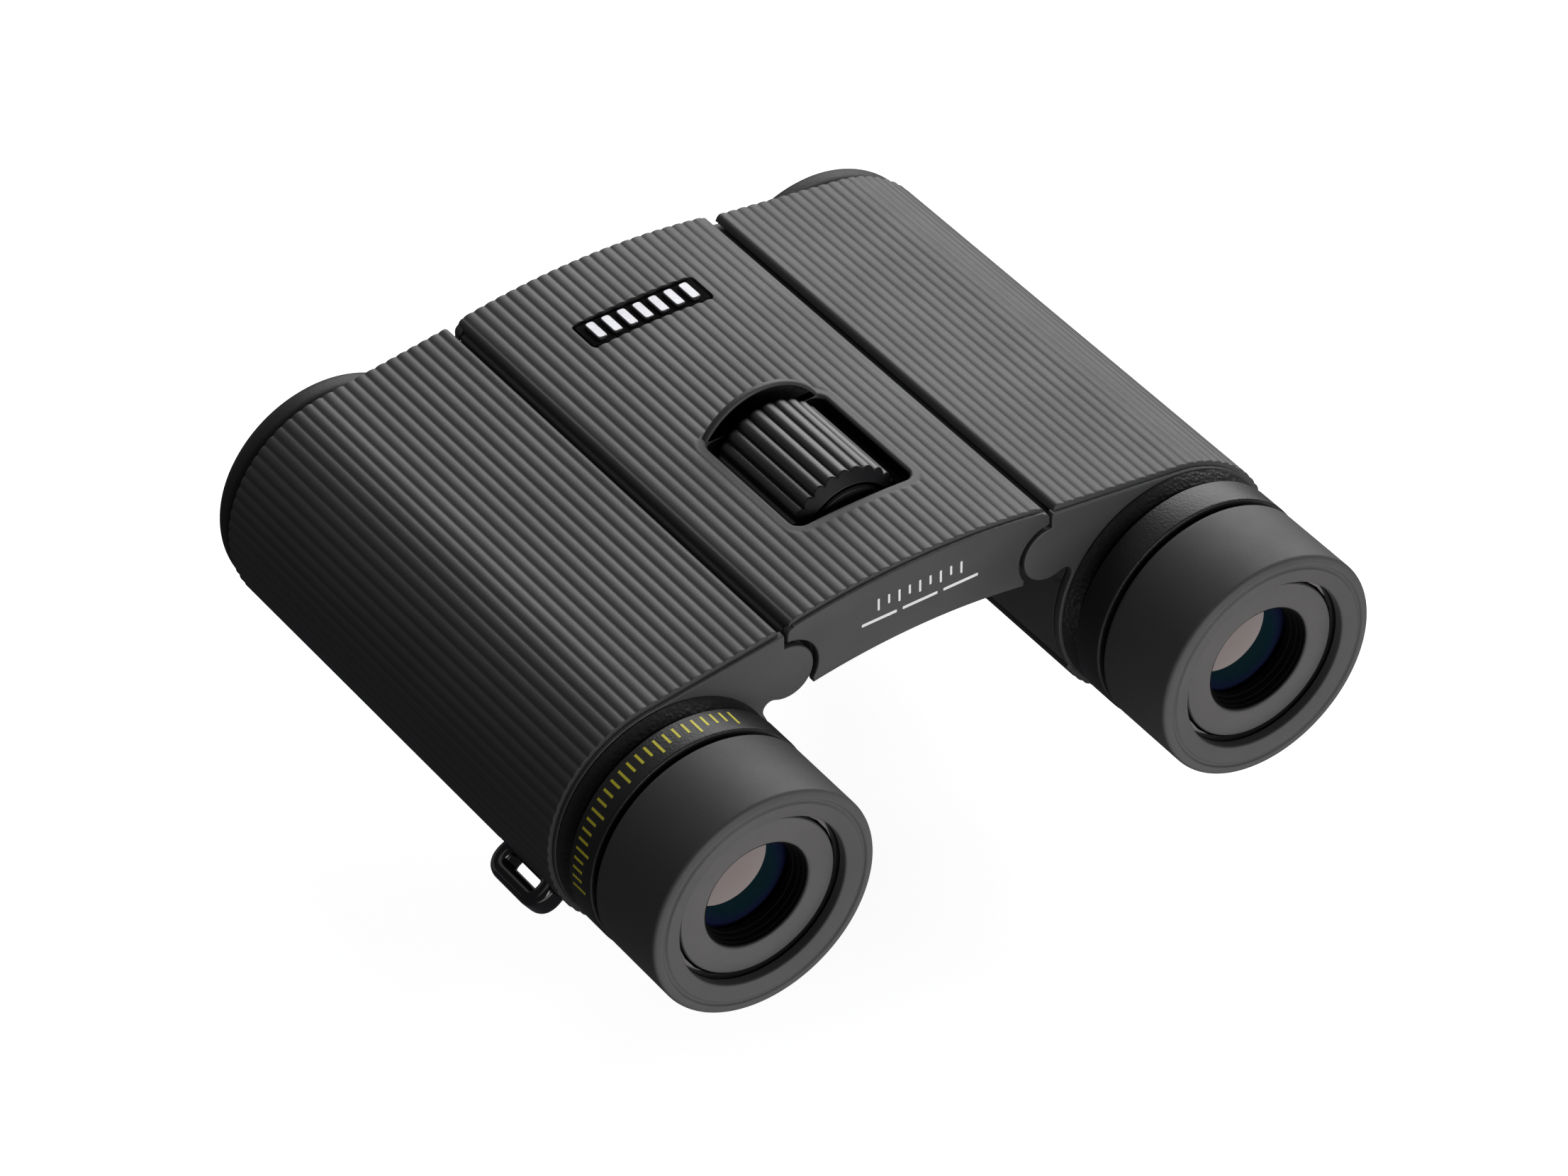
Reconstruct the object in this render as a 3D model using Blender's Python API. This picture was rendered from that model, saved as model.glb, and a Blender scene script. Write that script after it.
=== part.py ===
"""Compact double-hinge roof-prism binoculars with a ribbed rubber armour.

A flat bridge carries the focusing wheel, and a barrel folds down from a long hinge on each side of it.
X runs from the left barrel to the right one, Y from the eyepieces to the objectives, and Z up.
The origin is on the surface that the barrels lie on, in the middle of the length.
Sizes below are in millimetres, and MM turns them into metres when a mesh is made.
"""

from math import acos, atan2, cos, degrees, hypot, pi, radians, sin

import bmesh
import bpy
from mathutils import Vector

MM = 0.001

# Driving sizes
LENGTH = 103.0
HALF_SPAN = 39.0  # from the middle to an optical axis, barrels fully opened
BARREL_R = 17.3  # over the crests of the armour's ribs
AXIS_Z = BARREL_R
OCULAR_END = -29.5
OBJECTIVE_END = 47.2
EYE_FACE = -LENGTH / 2
RIM_FACE = LENGTH / 2
GAP = 0.3  # clearance between neighbouring pieces

# Bridge
BRIDGE_HALF = 20.3
BRIDGE_CORNER_Z = AXIS_Z + 20.3
CROWN_Z = AXIS_Z + 22.2
BELLY_HALF = 16.3
BELLY_CORNER_Z = AXIS_Z + 9.35
BELLY_ARCH_Z = AXIS_Z + 10.75
PLATE = 1.2  # end plates
ARMOUR = 1.2  # rubber thickness over the crests
SKIN = ARMOUR + GAP

# Hinges
HINGE_X = 20.4
HINGE_Z = AXIS_Z + 12.85
KNUCKLE_R = 4.05
SOCKET_R = 4.8
PIN_R = 1.25
PIN_BORE = PIN_R + GAP
REAR_EAR = (-19.6, -12.4)
FRONT_EAR = (28.4, 35.6)
EAR_PLAY = 0.4
LINK_ZONE = (3.2, 24.2)  # the knuckle is open here for the focusing linkage

# Barrel
BARREL_SIDE = 20.7
BARREL_CORNER_Z = AXIS_Z + 20.0
ARMOUR_END_DEG = -152.0  # where the armour stops on the barrel's inner side
INNER_COVER_R = 16.9
FILLET_R = 1.25
BORE_R = 14.1
OCULAR_BORE_R = 12.3
OCULAR_STEP = -20.0

# Ribs
RIB_PITCH = 1.78
RIB_DEPTH = 0.4

# Focusing wheel
WHEEL_Z = AXIS_Z + 16.1
WHEEL_R = 8.75
WHEEL_Y = (-13.9, 4.4)
FLUTES = 26
FLUTE_DEPTH = 0.6
WINDOW_HALF_X = 9.2
WINDOW_Y = (-15.6, 5.6)
SHAFT_R = 1.5
SHAFT_BORE = SHAFT_R + GAP
CAVITY_HALF = 11.0
CAVITY_TOP = AXIS_Z + 19.4
CAVITY_Y = (-17.0, 31.0)

# Focusing linkage
YOKE_Y = (7.0, 10.0)
CARRIER_Y = (15.0, 18.0)
ROD_Y = (5.6, 21.6)
LINK_R = 3.0

# Eyepieces and objectives
EYECUP_R = 16.5
EYECUP_REAR = -37.9
EYECUP_HOLE_R = 12.4
RING_R = 16.6
RING_Y = (-37.4, -32.4)
COLLAR_Y = (-31.9, -29.8)
LENS_RING_R = 11.5
LENS_RING_Y = -49.7
EYE_HOLE_R = 7.45
RIM_R = 16.8
APERTURE_R = 12.5

# Strap lugs
LUG_ANGLE = 215.0  # round the left barrel's axis, out and down
LUG_Y = (-26.1, -14.7)
LUG_RADII = (16.1, 21.2)
LUG_WIDTH = 3.8
LUG_BAND = 1.6

COARSE = 20
FINE = 32
PIN_STEPS = 14

for old in list(bpy.data.objects):
    bpy.data.objects.remove(old, do_unlink=True)


# Materials

def material(name, colour, roughness, metallic=0.0, transmission=0.0):
    mat = bpy.data.materials.new(name)
    mat.use_nodes = True
    shader = mat.node_tree.nodes["Principled BSDF"]
    shader.inputs["Base Color"].default_value = (*colour, 1.0)
    shader.inputs["Roughness"].default_value = roughness
    shader.inputs["Metallic"].default_value = metallic
    shader.inputs["Transmission Weight"].default_value = transmission
    return mat


ARMOUR_RUBBER = ("armour_rubber", (0.030, 0.030, 0.031), 0.62)
CUP_RUBBER = ("cup_rubber", (0.035, 0.035, 0.036), 0.5)
GRIP_RUBBER = ("grip_rubber", (0.018, 0.018, 0.019), 0.35)
HOUSING_PLASTIC = ("housing_plastic", (0.045, 0.045, 0.047), 0.5)
GLOSS_PLASTIC = ("gloss_plastic", (0.010, 0.010, 0.011), 0.15)
BLACK_METAL = ("black_metal", (0.02, 0.02, 0.021), 0.4, 0.6)
STEEL = ("steel", (0.55, 0.55, 0.56), 0.3, 1.0)
BRASS = ("brass", (0.72, 0.53, 0.25), 0.3, 1.0)
GLASS = ("glass", (0.75, 0.85, 0.85), 0.03, 0.0, 0.9)


# Mesh helpers

def finish(name, bm, origin, finish_of, sharp_deg=35.0):
    """Makes the object of a mesh drawn in millimetres, with its origin on its joint's axis."""
    bmesh.ops.remove_doubles(bm, verts=bm.verts, dist=1e-4)
    bmesh.ops.recalc_face_normals(bm, faces=bm.faces)
    bmesh.ops.translate(bm, verts=bm.verts, vec=-Vector(origin))
    bmesh.ops.scale(bm, verts=bm.verts, vec=(MM, MM, MM))
    mesh = bpy.data.meshes.new(name)
    bm.to_mesh(mesh)
    bm.free()
    mesh.shade_smooth()
    mesh.set_sharp_from_angle(angle=radians(sharp_deg))
    obj = bpy.data.objects.new(name, mesh)
    obj.location = Vector(origin) * MM
    bpy.context.scene.collection.objects.link(obj)
    if finish_of:
        mesh.materials.append(material(name + "_finish", *finish_of[1:]))
    return obj


def turned(name, centre, profile, origin, finish_of, steps=COARSE):
    """Turns a closed (radius, y) profile about the Y line through centre (x, z)."""
    bm = bmesh.new()
    points = [bm.verts.new((centre[0] + r, y, centre[1])) for r, y in profile]
    edges = [bm.edges.new((a, b)) for a, b in zip(points, points[1:] + points[:1])]
    if profile[0][0] == 0 and profile[-1][0] == 0:
        bm.edges.remove(edges.pop())
    bmesh.ops.spin(
        bm, geom=points + edges, cent=(centre[0], 0, centre[1]), axis=(0, 1, 0), angle=2 * pi, steps=steps
    )
    return finish(name, bm, origin, finish_of)


def extruded(name, outline, y0, y1, origin, finish_of):
    """Extrudes a closed (x, z) outline along Y."""
    bm = bmesh.new()
    face = bm.faces.new([bm.verts.new((x, y0, z)) for x, z in outline])
    moved = bmesh.ops.extrude_face_region(bm, geom=[face])["geom"]
    bmesh.ops.translate(bm, verts=[v for v in moved if isinstance(v, bmesh.types.BMVert)], vec=(0, y1 - y0, 0))
    return finish(name, bm, origin, finish_of)


def cutter(obj, target, operation="DIFFERENCE"):
    """Hides obj and lets it cut, or join, the target."""
    obj.hide_render = True
    obj.display_type = "WIRE"
    step = target.modifiers.new(obj.name, "BOOLEAN")
    step.object = obj
    step.operation = operation
    step.solver = "EXACT"


def rod_tool(name, centre, radius, y0, y1, steps=COARSE):
    return turned(name, centre, [(0, y0), (radius, y0), (radius, y1), (0, y1)], (0, 0, 0), None, steps)


def box_tool(name, x0, x1, y0, y1, z0, z1):
    return extruded(name, [(x0, z0), (x1, z0), (x1, z1), (x0, z1)], y0, y1, (0, 0, 0), None)


def arc(cx, cz, radius, start, end, count):
    """Points on an arc, angles in degrees, both ends included."""
    turn = [radians(start + (end - start) * i / count) for i in range(count + 1)]
    return [(cx + radius * cos(a), cz + radius * sin(a)) for a in turn]


def mirrored(points, side):
    return [(side * x, z) for x, z in points]


def tube(r_out, r_in, y0, y1):
    return [(r_in, y0), (r_out, y0), (r_out, y1), (r_in, y1)]


# Outlines of the bridge

def bridge_top(x, drop=0.0):
    """Height of the crowned top at x, drop below it."""
    rise = CROWN_Z - BRIDGE_CORNER_Z
    radius = (BRIDGE_HALF**2 + rise**2) / (2 * rise)
    return CROWN_Z - drop - radius + (radius**2 - x**2) ** 0.5


def bridge_belly(x, lift=0.0):
    """Height of the hollowed underside at x, lift above it."""
    rise = BELLY_ARCH_Z - BELLY_CORNER_Z
    radius = (BELLY_HALF**2 + rise**2) / (2 * rise)
    return BELLY_ARCH_Z + lift - radius + (radius**2 - x**2) ** 0.5


def spread(start, end, count):
    return [start + (end - start) * i / count for i in range(count + 1)]


def bridge_outline(drop):
    """The bridge's section: crowned top, a socket each side, hollowed belly."""
    top = [(x, bridge_top(x, drop)) for x in spread(-BRIDGE_HALF + 0.5, BRIDGE_HALF - 0.5, 12)]
    socket = arc(HINGE_X, HINGE_Z, SOCKET_R, 91.2, 214.0, 10)
    right = [(BRIDGE_HALF, bridge_top(BRIDGE_HALF, drop) - 0.5)] + socket
    belly = [(x, bridge_belly(x)) for x in spread(BELLY_HALF, -BELLY_HALF, 10)]
    return top + right + belly + mirrored(right[::-1], -1)


def ribbed_top(x):
    """The armour's top at x, with a rib every pitch."""
    phase = (x / RIB_PITCH) % 1.0
    return bridge_top(x) - RIB_DEPTH * (1.0 - sin(pi * phase))


def build_bridge():
    root = (0, 0, AXIS_Z)
    housing = extruded(
        "bridge_housing", bridge_outline(SKIN), OCULAR_END + PLATE + GAP, OBJECTIVE_END - PLATE - GAP,
        root, HOUSING_PLASTIC,
    )
    for side, word in ((-1, "left"), (1, "right")):
        for (y0, y1), end in ((REAR_EAR, "rear"), (FRONT_EAR, "front")):
            web = box_tool(f"{word}_{end}_ear_web", side * 14.5, side * HINGE_X, y0, y1, HINGE_Z - 2.1, HINGE_Z + 3.4)
            cutter(web, housing, "UNION")
            ear = rod_tool(f"{word}_{end}_ear", (side * HINGE_X, HINGE_Z), KNUCKLE_R, y0, y1)
            cutter(ear, housing, "UNION")
            bore = rod_tool(f"{word}_{end}_ear_bore", (side * HINGE_X, HINGE_Z), PIN_BORE, y0 - 1, y1 + 1, PIN_STEPS)
            cutter(bore, housing)
        slot = box_tool(f"{word}_yoke_slot", side * 10.0, side * 18.0, 3.6, 13.4, HINGE_Z - 1.6, HINGE_Z + 2.2)
        cutter(slot, housing)
    cavity = box_tool("bridge_cavity", -CAVITY_HALF, CAVITY_HALF, *CAVITY_Y, BELLY_CORNER_Z - 1, CAVITY_TOP)
    cutter(cavity, housing)
    window = rounded_window("housing_window", 0.0, CAVITY_TOP - 1, CROWN_Z + 1)
    cutter(window, housing)
    belly = spread(-13.3, 13.3, 8)
    recess_line = [(x, bridge_belly(x, SKIN)) for x in belly]
    recess = extruded(
        "belly_recess", recess_line + [(13.3, BELLY_CORNER_Z - 2), (-13.3, BELLY_CORNER_Z - 2)], -25.0, 43.0,
        (0, 0, 0), None,
    )
    cutter(recess, housing)
    for y0, y1, end in ((-22.0, CAVITY_Y[0] + 1, "rear"), (CAVITY_Y[1] - 1, 36.0, "front")):
        cutter(rod_tool(f"{end}_bush_seat", (0, WHEEL_Z), 3.0, y0, y1, PIN_STEPS), housing)

    xs = spread(-BRIDGE_HALF + 0.8, BRIDGE_HALF - 0.8, 66)
    skin = [(x, ribbed_top(x)) for x in xs]
    under = [(x, bridge_top(x, ARMOUR)) for x in spread(xs[-1], xs[0], 12)]
    armour = extruded(
        "bridge_armour", skin + under, OCULAR_END + PLATE + GAP, OBJECTIVE_END - PLATE - GAP, root, ARMOUR_RUBBER
    )
    cutter(rounded_window("armour_window", 0.0, BRIDGE_CORNER_Z - 4, CROWN_Z + 2), armour)
    badge_seat = box_tool("badge_seat", -9.6, 9.6, 30.0, 35.8, CROWN_Z - 1.0, CROWN_Z + 2)
    cutter(badge_seat, armour)

    cover_line = [(x, bridge_belly(x, ARMOUR)) for x in spread(-13.0, 13.0, 8)]
    belly_line = [(x, bridge_belly(x)) for x in spread(13.0, -13.0, 8)]
    cover = extruded("bridge_bottom_cover", cover_line + belly_line, -24.7, 42.7, root, HOUSING_PLASTIC)
    cutter(rounded_window("cover_window", 0.6, BELLY_CORNER_Z - 4, BELLY_ARCH_Z + 4), cover)

    extruded("bridge_ocular_plate", bridge_outline(0.25), OCULAR_END, OCULAR_END + PLATE, root, HOUSING_PLASTIC)
    far_plate = (OBJECTIVE_END - PLATE, OBJECTIVE_END)
    extruded("bridge_objective_plate", bridge_outline(0.25), *far_plate, root, HOUSING_PLASTIC)
    badge_top = CROWN_Z - 0.35
    badge = box_tool("badge_plate", -9.2, 9.2, 30.4, 35.4, CROWN_Z - 0.7, badge_top)
    badge.data.materials.append(material("badge_finish", *GLOSS_PLASTIC[1:]))

    for side, word in ((-1, "left"), (1, "right")):
        build_hinge_pins(side, word)
    for y0, y1, end in ((-21.6, CAVITY_Y[0] - 0.4, "rear"), (CAVITY_Y[1] + 0.4, 35.6, "front")):
        turned(f"{end}_shaft_bush", (0, WHEEL_Z), tube(2.7, SHAFT_BORE, y0, y1), (0, 0, WHEEL_Z), BRASS, PIN_STEPS)
    build_hood()


def rounded_window(name, shrink, z0, z1):
    """A cutter for the wheel's window, a rectangle with rounded corners in plan."""
    radius = 1.7
    half = WINDOW_HALF_X - shrink
    y0, y1 = WINDOW_Y[0] + shrink, WINDOW_Y[1] - shrink
    corners = [(half, y0, -90), (half, y1, 0), (-half, y1, 90), (-half, y0, 180)]
    plan = []
    for x, y, start in corners:
        cx = x - radius if x > 0 else x + radius
        cy = y + radius if y == y0 else y - radius
        plan += arc(cx, cy, radius, start, start + 90, 4)
    bm = bmesh.new()
    face = bm.faces.new([bm.verts.new((x, y, z0)) for x, y in plan])
    moved = bmesh.ops.extrude_face_region(bm, geom=[face])["geom"]
    bmesh.ops.translate(bm, verts=[v for v in moved if isinstance(v, bmesh.types.BMVert)], vec=(0, 0, z1 - z0))
    return finish(name, bm, (0, 0, 0), None)


def build_hood():
    """The raised arch over the wheel's far end, standing on the armour."""
    outer_r, inner_r = WHEEL_R + 1.9, WHEEL_R + 0.9
    foot = CROWN_Z - 0.15
    spread_out = degrees(acos((foot - WHEEL_Z) / outer_r))
    spread_in = degrees(acos((foot - WHEEL_Z) / inner_r))
    outer = arc(0, WHEEL_Z, outer_r, 90 - spread_out, 90 + spread_out, 16)
    inner = arc(0, WHEEL_Z, inner_r, 90 + spread_in, 90 - spread_in, 16)
    extruded("wheel_hood", outer + inner, WINDOW_Y[1] + 0.3, WINDOW_Y[1] + 1.7, (0, 0, AXIS_Z), ARMOUR_RUBBER)


def build_hinge_pins(side, word):
    centre = (side * HINGE_X, HINGE_Z)
    origin = (centre[0], 0, centre[1])
    rear = [(0, -26.6), (PIN_R, -26.6), (PIN_R, -6.0), (0, -6.0)]
    turned(f"{word}_rear_hinge_pin", centre, rear, origin, STEEL, PIN_STEPS)
    front = [(0, 26.0), (PIN_R, 26.0), (PIN_R, 45.4), (2.3, 45.4), (2.3, 46.9), (0, 46.9)]
    turned(f"{word}_front_hinge_pin", centre, front, origin, STEEL, PIN_STEPS)


# Barrels

def flange_line(radius, corner_z):
    """The straight top of the barrel, from its inner corner to where it meets the round, at the given radius."""
    dx, dz = BARREL_SIDE - HALF_SPAN, corner_z - AXIS_Z
    reach = hypot(dx, dz)
    touch = atan2(dz, dx) - acos(radius / reach)
    return degrees(touch)


def barrel_outline(radius, corner_z, end_radius):
    """The right barrel's section: top corner, round outside, inner cover, fillet and hinge knuckle."""
    touch = flange_line(radius, corner_z)
    outside = arc(HALF_SPAN, AXIS_Z, radius, touch, ARMOUR_END_DEG, 20)
    a, b = end_radius + FILLET_R, KNUCKLE_R + FILLET_R
    span = hypot(HINGE_X - HALF_SPAN, HINGE_Z - AXIS_Z)
    line = atan2(AXIS_Z - HINGE_Z, HALF_SPAN - HINGE_X)
    swing = acos((b * b + span * span - a * a) / (2 * b * span))
    fx = HINGE_X + b * cos(line - swing)
    fz = HINGE_Z + b * sin(line - swing)
    meet = degrees(atan2(fz - AXIS_Z, fx - HALF_SPAN))
    cover = arc(HALF_SPAN, AXIS_Z, end_radius, ARMOUR_END_DEG, meet - 360, 6)
    to_barrel = degrees(atan2(AXIS_Z - fz, HALF_SPAN - fx))
    to_knuckle = degrees(atan2(HINGE_Z - fz, HINGE_X - fx))
    fillet = arc(fx, fz, FILLET_R, to_barrel, to_knuckle, 5)
    leave = degrees(line - swing)
    top = degrees(acos((BARREL_SIDE - HINGE_X) / KNUCKLE_R))
    knuckle = arc(HINGE_X, HINGE_Z, KNUCKLE_R, leave, top - 360, 10)
    return [(BARREL_SIDE, corner_z)] + outside + cover[1:] + fillet[1:] + knuckle[1:]


def armour_outline(inset):
    """The armour's section: ribs along the top and round the outside, and a smooth inner face."""
    corner_z = BARREL_CORNER_Z
    touch = flange_line(BARREL_R, corner_z)
    tx = HALF_SPAN + BARREL_R * cos(radians(touch))
    tz = AXIS_Z + BARREL_R * sin(radians(touch))
    start_x = BARREL_SIDE + inset
    flat = hypot(tx - BARREL_SIDE, tz - corner_z) - inset
    round_length = BARREL_R * radians(touch - ARMOUR_END_DEG)
    count = round((flat + round_length) / RIB_PITCH)
    slope = Vector((tx - BARREL_SIDE, tz - corner_z)).normalized()
    outer = []
    for i in range(count * 3 + 1):
        travel = (flat + round_length) * i / (count * 3)
        drop = 0.0 if i % 3 else RIB_DEPTH
        if travel < flat:
            along = inset + travel
            point = Vector((BARREL_SIDE, corner_z)) + slope * along
            point += Vector((slope[1], -slope[0])) * drop
            outer.append((point[0], point[1]))
        else:
            turn = radians(touch) - (travel - flat) / BARREL_R
            radius = BARREL_R - drop
            outer.append((HALF_SPAN + radius * cos(turn), AXIS_Z + radius * sin(turn)))
    lining_r = BARREL_R - ARMOUR
    lining_touch = flange_line(lining_r, corner_z - ARMOUR)
    lining = arc(HALF_SPAN, AXIS_Z, lining_r, ARMOUR_END_DEG, lining_touch, 22)
    return outer + lining + [(start_x, corner_z - ARMOUR - 0.05)]


def radial_point(side, angle, y, radius, across):
    """A point at a radius from a barrel's axis, across being sideways round it."""
    turn = radians(angle if side < 0 else 180 - angle)
    outward = Vector((cos(turn), 0, sin(turn)))
    sideways = Vector((-sin(turn), 0, cos(turn)))
    return Vector((side * HALF_SPAN, y, AXIS_Z)) + outward * radius + sideways * across


def radial_block(name, side, angle, ys, radii, across, finish_of=None, origin=(0, 0, 0)):
    bm = bmesh.new()
    half = across / 2
    plan = [(ys[0], radii[0]), (ys[1], radii[0]), (ys[1], radii[1]), (ys[0], radii[1])]
    return sweep_across(name, bm, side, angle, plan, half, finish_of, origin)


def sweep_across(name, bm, side, angle, plan, half, finish_of, origin):
    """Extrudes a (y, radius) outline sideways round the barrel."""
    face = bm.faces.new([bm.verts.new(radial_point(side, angle, y, r, -half)) for y, r in plan])
    moved = bmesh.ops.extrude_face_region(bm, geom=[face])["geom"]
    step = radial_point(side, angle, 0, 0, 2 * half) - radial_point(side, angle, 0, 0, 0)
    bmesh.ops.translate(bm, verts=[v for v in moved if isinstance(v, bmesh.types.BMVert)], vec=step)
    return finish(name, bm, origin, finish_of)


def build_lug(side, word, origin):
    """A strap loop on the barrel's low outer side."""
    y0, y1 = LUG_Y
    inner, outer = LUG_RADII
    radius = 2.2
    plan = [(y0, inner)] + [(y1, inner)]
    plan += arc(y1 - radius, outer - radius, radius, 0, 90, 5)
    plan += arc(y0 + radius, outer - radius, radius, 90, 180, 5)
    lug = sweep_across(f"{word}_strap_lug", bmesh.new(), side, LUG_ANGLE, plan, LUG_WIDTH / 2, GLOSS_PLASTIC, origin)
    hole = [(y0 + LUG_BAND, inner + 0.9), (y1 - LUG_BAND, inner + 0.9)]
    hole += arc(y1 - LUG_BAND - 1.0, outer - LUG_BAND - 1.0, 1.0, 0, 90, 3)
    hole += arc(y0 + LUG_BAND + 1.0, outer - LUG_BAND - 1.0, 1.0, 90, 180, 3)
    tool = sweep_across(f"{word}_lug_hole", bmesh.new(), side, LUG_ANGLE, hole, LUG_WIDTH, None, (0, 0, 0))
    cutter(tool, lug)


def build_barrel(side, word):
    hinge = (side * HINGE_X, HINGE_Z)
    origin = (hinge[0], 0, hinge[1])
    axis = (side * HALF_SPAN, AXIS_Z)
    section = mirrored(barrel_outline(BARREL_R - SKIN, BARREL_CORNER_Z - SKIN, INNER_COVER_R), side)
    y0 = OCULAR_END + PLATE + GAP
    housing = extruded(f"{word}_barrel_housing", section, y0, OBJECTIVE_END, origin, HOUSING_PLASTIC)
    bore = [
        (0, y0 - 1), (OCULAR_BORE_R, y0 - 1), (OCULAR_BORE_R, OCULAR_STEP), (BORE_R, OCULAR_STEP),
        (BORE_R, OBJECTIVE_END + 1), (0, OBJECTIVE_END + 1),
    ]
    tools = [
        turned(f"{word}_bore", axis, bore, (0, 0, 0), None, FINE),
        rod_tool(f"{word}_rear_notch", hinge, KNUCKLE_R + 0.45, REAR_EAR[0] - EAR_PLAY, REAR_EAR[1] + EAR_PLAY),
        rod_tool(f"{word}_front_notch", hinge, KNUCKLE_R + 0.45, FRONT_EAR[0] - EAR_PLAY, FRONT_EAR[1] + EAR_PLAY),
        rod_tool(f"{word}_link_notch", hinge, KNUCKLE_R + 0.45, *LINK_ZONE),
        rod_tool(f"{word}_rear_pin_bore", hinge, PIN_BORE, -27.2, LINK_ZONE[0] + 1, PIN_STEPS),
        rod_tool(f"{word}_front_pin_bore", hinge, PIN_BORE, LINK_ZONE[1] - 1, OBJECTIVE_END + 1, PIN_STEPS),
        rod_tool(f"{word}_pin_head_seat", hinge, 2.6, 45.1, OBJECTIVE_END + 1, PIN_STEPS),
        radial_block(f"{word}_carrier_slot", side, CARRIER_ANGLE, (12.6, 20.4), (BORE_R - 2, 21.0), 3.4),
    ]
    for tool in tools:
        cutter(tool, housing)

    skin = extruded(
        f"{word}_barrel_armour", mirrored(armour_outline(0.6), side), y0, OBJECTIVE_END - 0.2, origin, ARMOUR_RUBBER
    )
    lug_ys = (LUG_Y[0] - 0.6, LUG_Y[1] + 0.6)
    cutter(radial_block(f"{word}_lug_seat", side, LUG_ANGLE, lug_ys, (14.0, 19.0), LUG_WIDTH + 1.2), skin)

    face = mirrored(barrel_outline(BARREL_R - 0.3, BARREL_CORNER_Z - 0.3, INNER_COVER_R), side)
    plate = extruded(f"{word}_end_plate", face, OCULAR_END, OCULAR_END + PLATE, origin, HOUSING_PLASTIC)
    cutter(rod_tool(f"{word}_plate_bore", axis, OCULAR_BORE_R, OCULAR_END - 1, OCULAR_END + 3, FINE), plate)
    build_lug(side, word, origin)
    build_objective(word, axis, origin)
    build_prisms(side, word, axis, origin)


CARRIER_ANGLE = degrees(atan2(HINGE_Z - AXIS_Z, HALF_SPAN - HINGE_X))


def build_objective(word, axis, origin):
    cell = [
        (13.05, 37.6), (13.8, 37.6), (13.8, 49.3), (APERTURE_R - 0.1, 49.3), (APERTURE_R - 0.1, 48.5), (13.05, 48.5),
    ]
    turned(f"{word}_objective_cell", axis, cell, origin, BLACK_METAL, 28)
    lens = [(0, 42.4)] + lens_face(12.7, 42.9, 42.4, 3) + lens_face(12.7, 46.6, 48.1, 3)[::-1] + [(0, 48.1)]
    turned(f"{word}_objective_lens", axis, lens, origin, GLASS, 28)
    rim = [
        (14.1, 47.5), (RIM_R - 0.5, 47.5), (RIM_R, 48.2), (RIM_R, 49.6), (RIM_R - 0.5, 50.8),
        (RIM_R - 1.4, RIM_FACE), (13.3, RIM_FACE), (12.9, 51.0), (12.9, 49.6), (14.1, 49.6),
    ]
    turned(f"{word}_objective_rim", axis, rim, origin, ARMOUR_RUBBER, FINE)


def lens_face(radius, edge_y, centre_y, count):
    """Points of a curved lens face, from near its middle to its edge."""
    shares = [i / count for i in range(1, count + 1)]
    return [(radius * t, centre_y + (edge_y - centre_y) * t * t) for t in shares]


def build_prisms(side, word, axis, origin):
    """An upright roof prism pair in a holder between the objective and the eyepiece."""
    holder = extruded(
        f"{word}_prism_holder", arc(*axis, BORE_R - 0.4, 0, 360 - 12, 29), -19.4, 7.4, origin, BLACK_METAL
    )
    x, z = axis
    well = box_tool(f"{word}_prism_well", x - 7.6, x + 7.6, -17.6, 9.0, z - 8.6, z + 8.6)
    cutter(well, holder)
    cutter(rod_tool(f"{word}_prism_window", axis, 6.5, -21.0, -15.0), holder)
    first = [(-17.2, -7.6), (-17.2, 7.6), (-8.5, 7.6), (-6.4, 0.5), (-12.0, -7.6)]
    second = [(-11.3, -7.9), (-5.6, -0.2), (-7.5, 7.6), (3.2, 7.6), (3.2, -4.8), (-0.5, -7.9)]
    for name, plan in (("half_penta_prism", first), ("roof_prism", second)):
        bm = bmesh.new()
        face = bm.faces.new([bm.verts.new((x - 7.0, y, z + h)) for y, h in plan])
        moved = bmesh.ops.extrude_face_region(bm, geom=[face])["geom"]
        bmesh.ops.translate(bm, verts=[v for v in moved if isinstance(v, bmesh.types.BMVert)], vec=(14.0, 0, 0))
        finish(f"{word}_{name}", bm, origin, GLASS)


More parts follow.
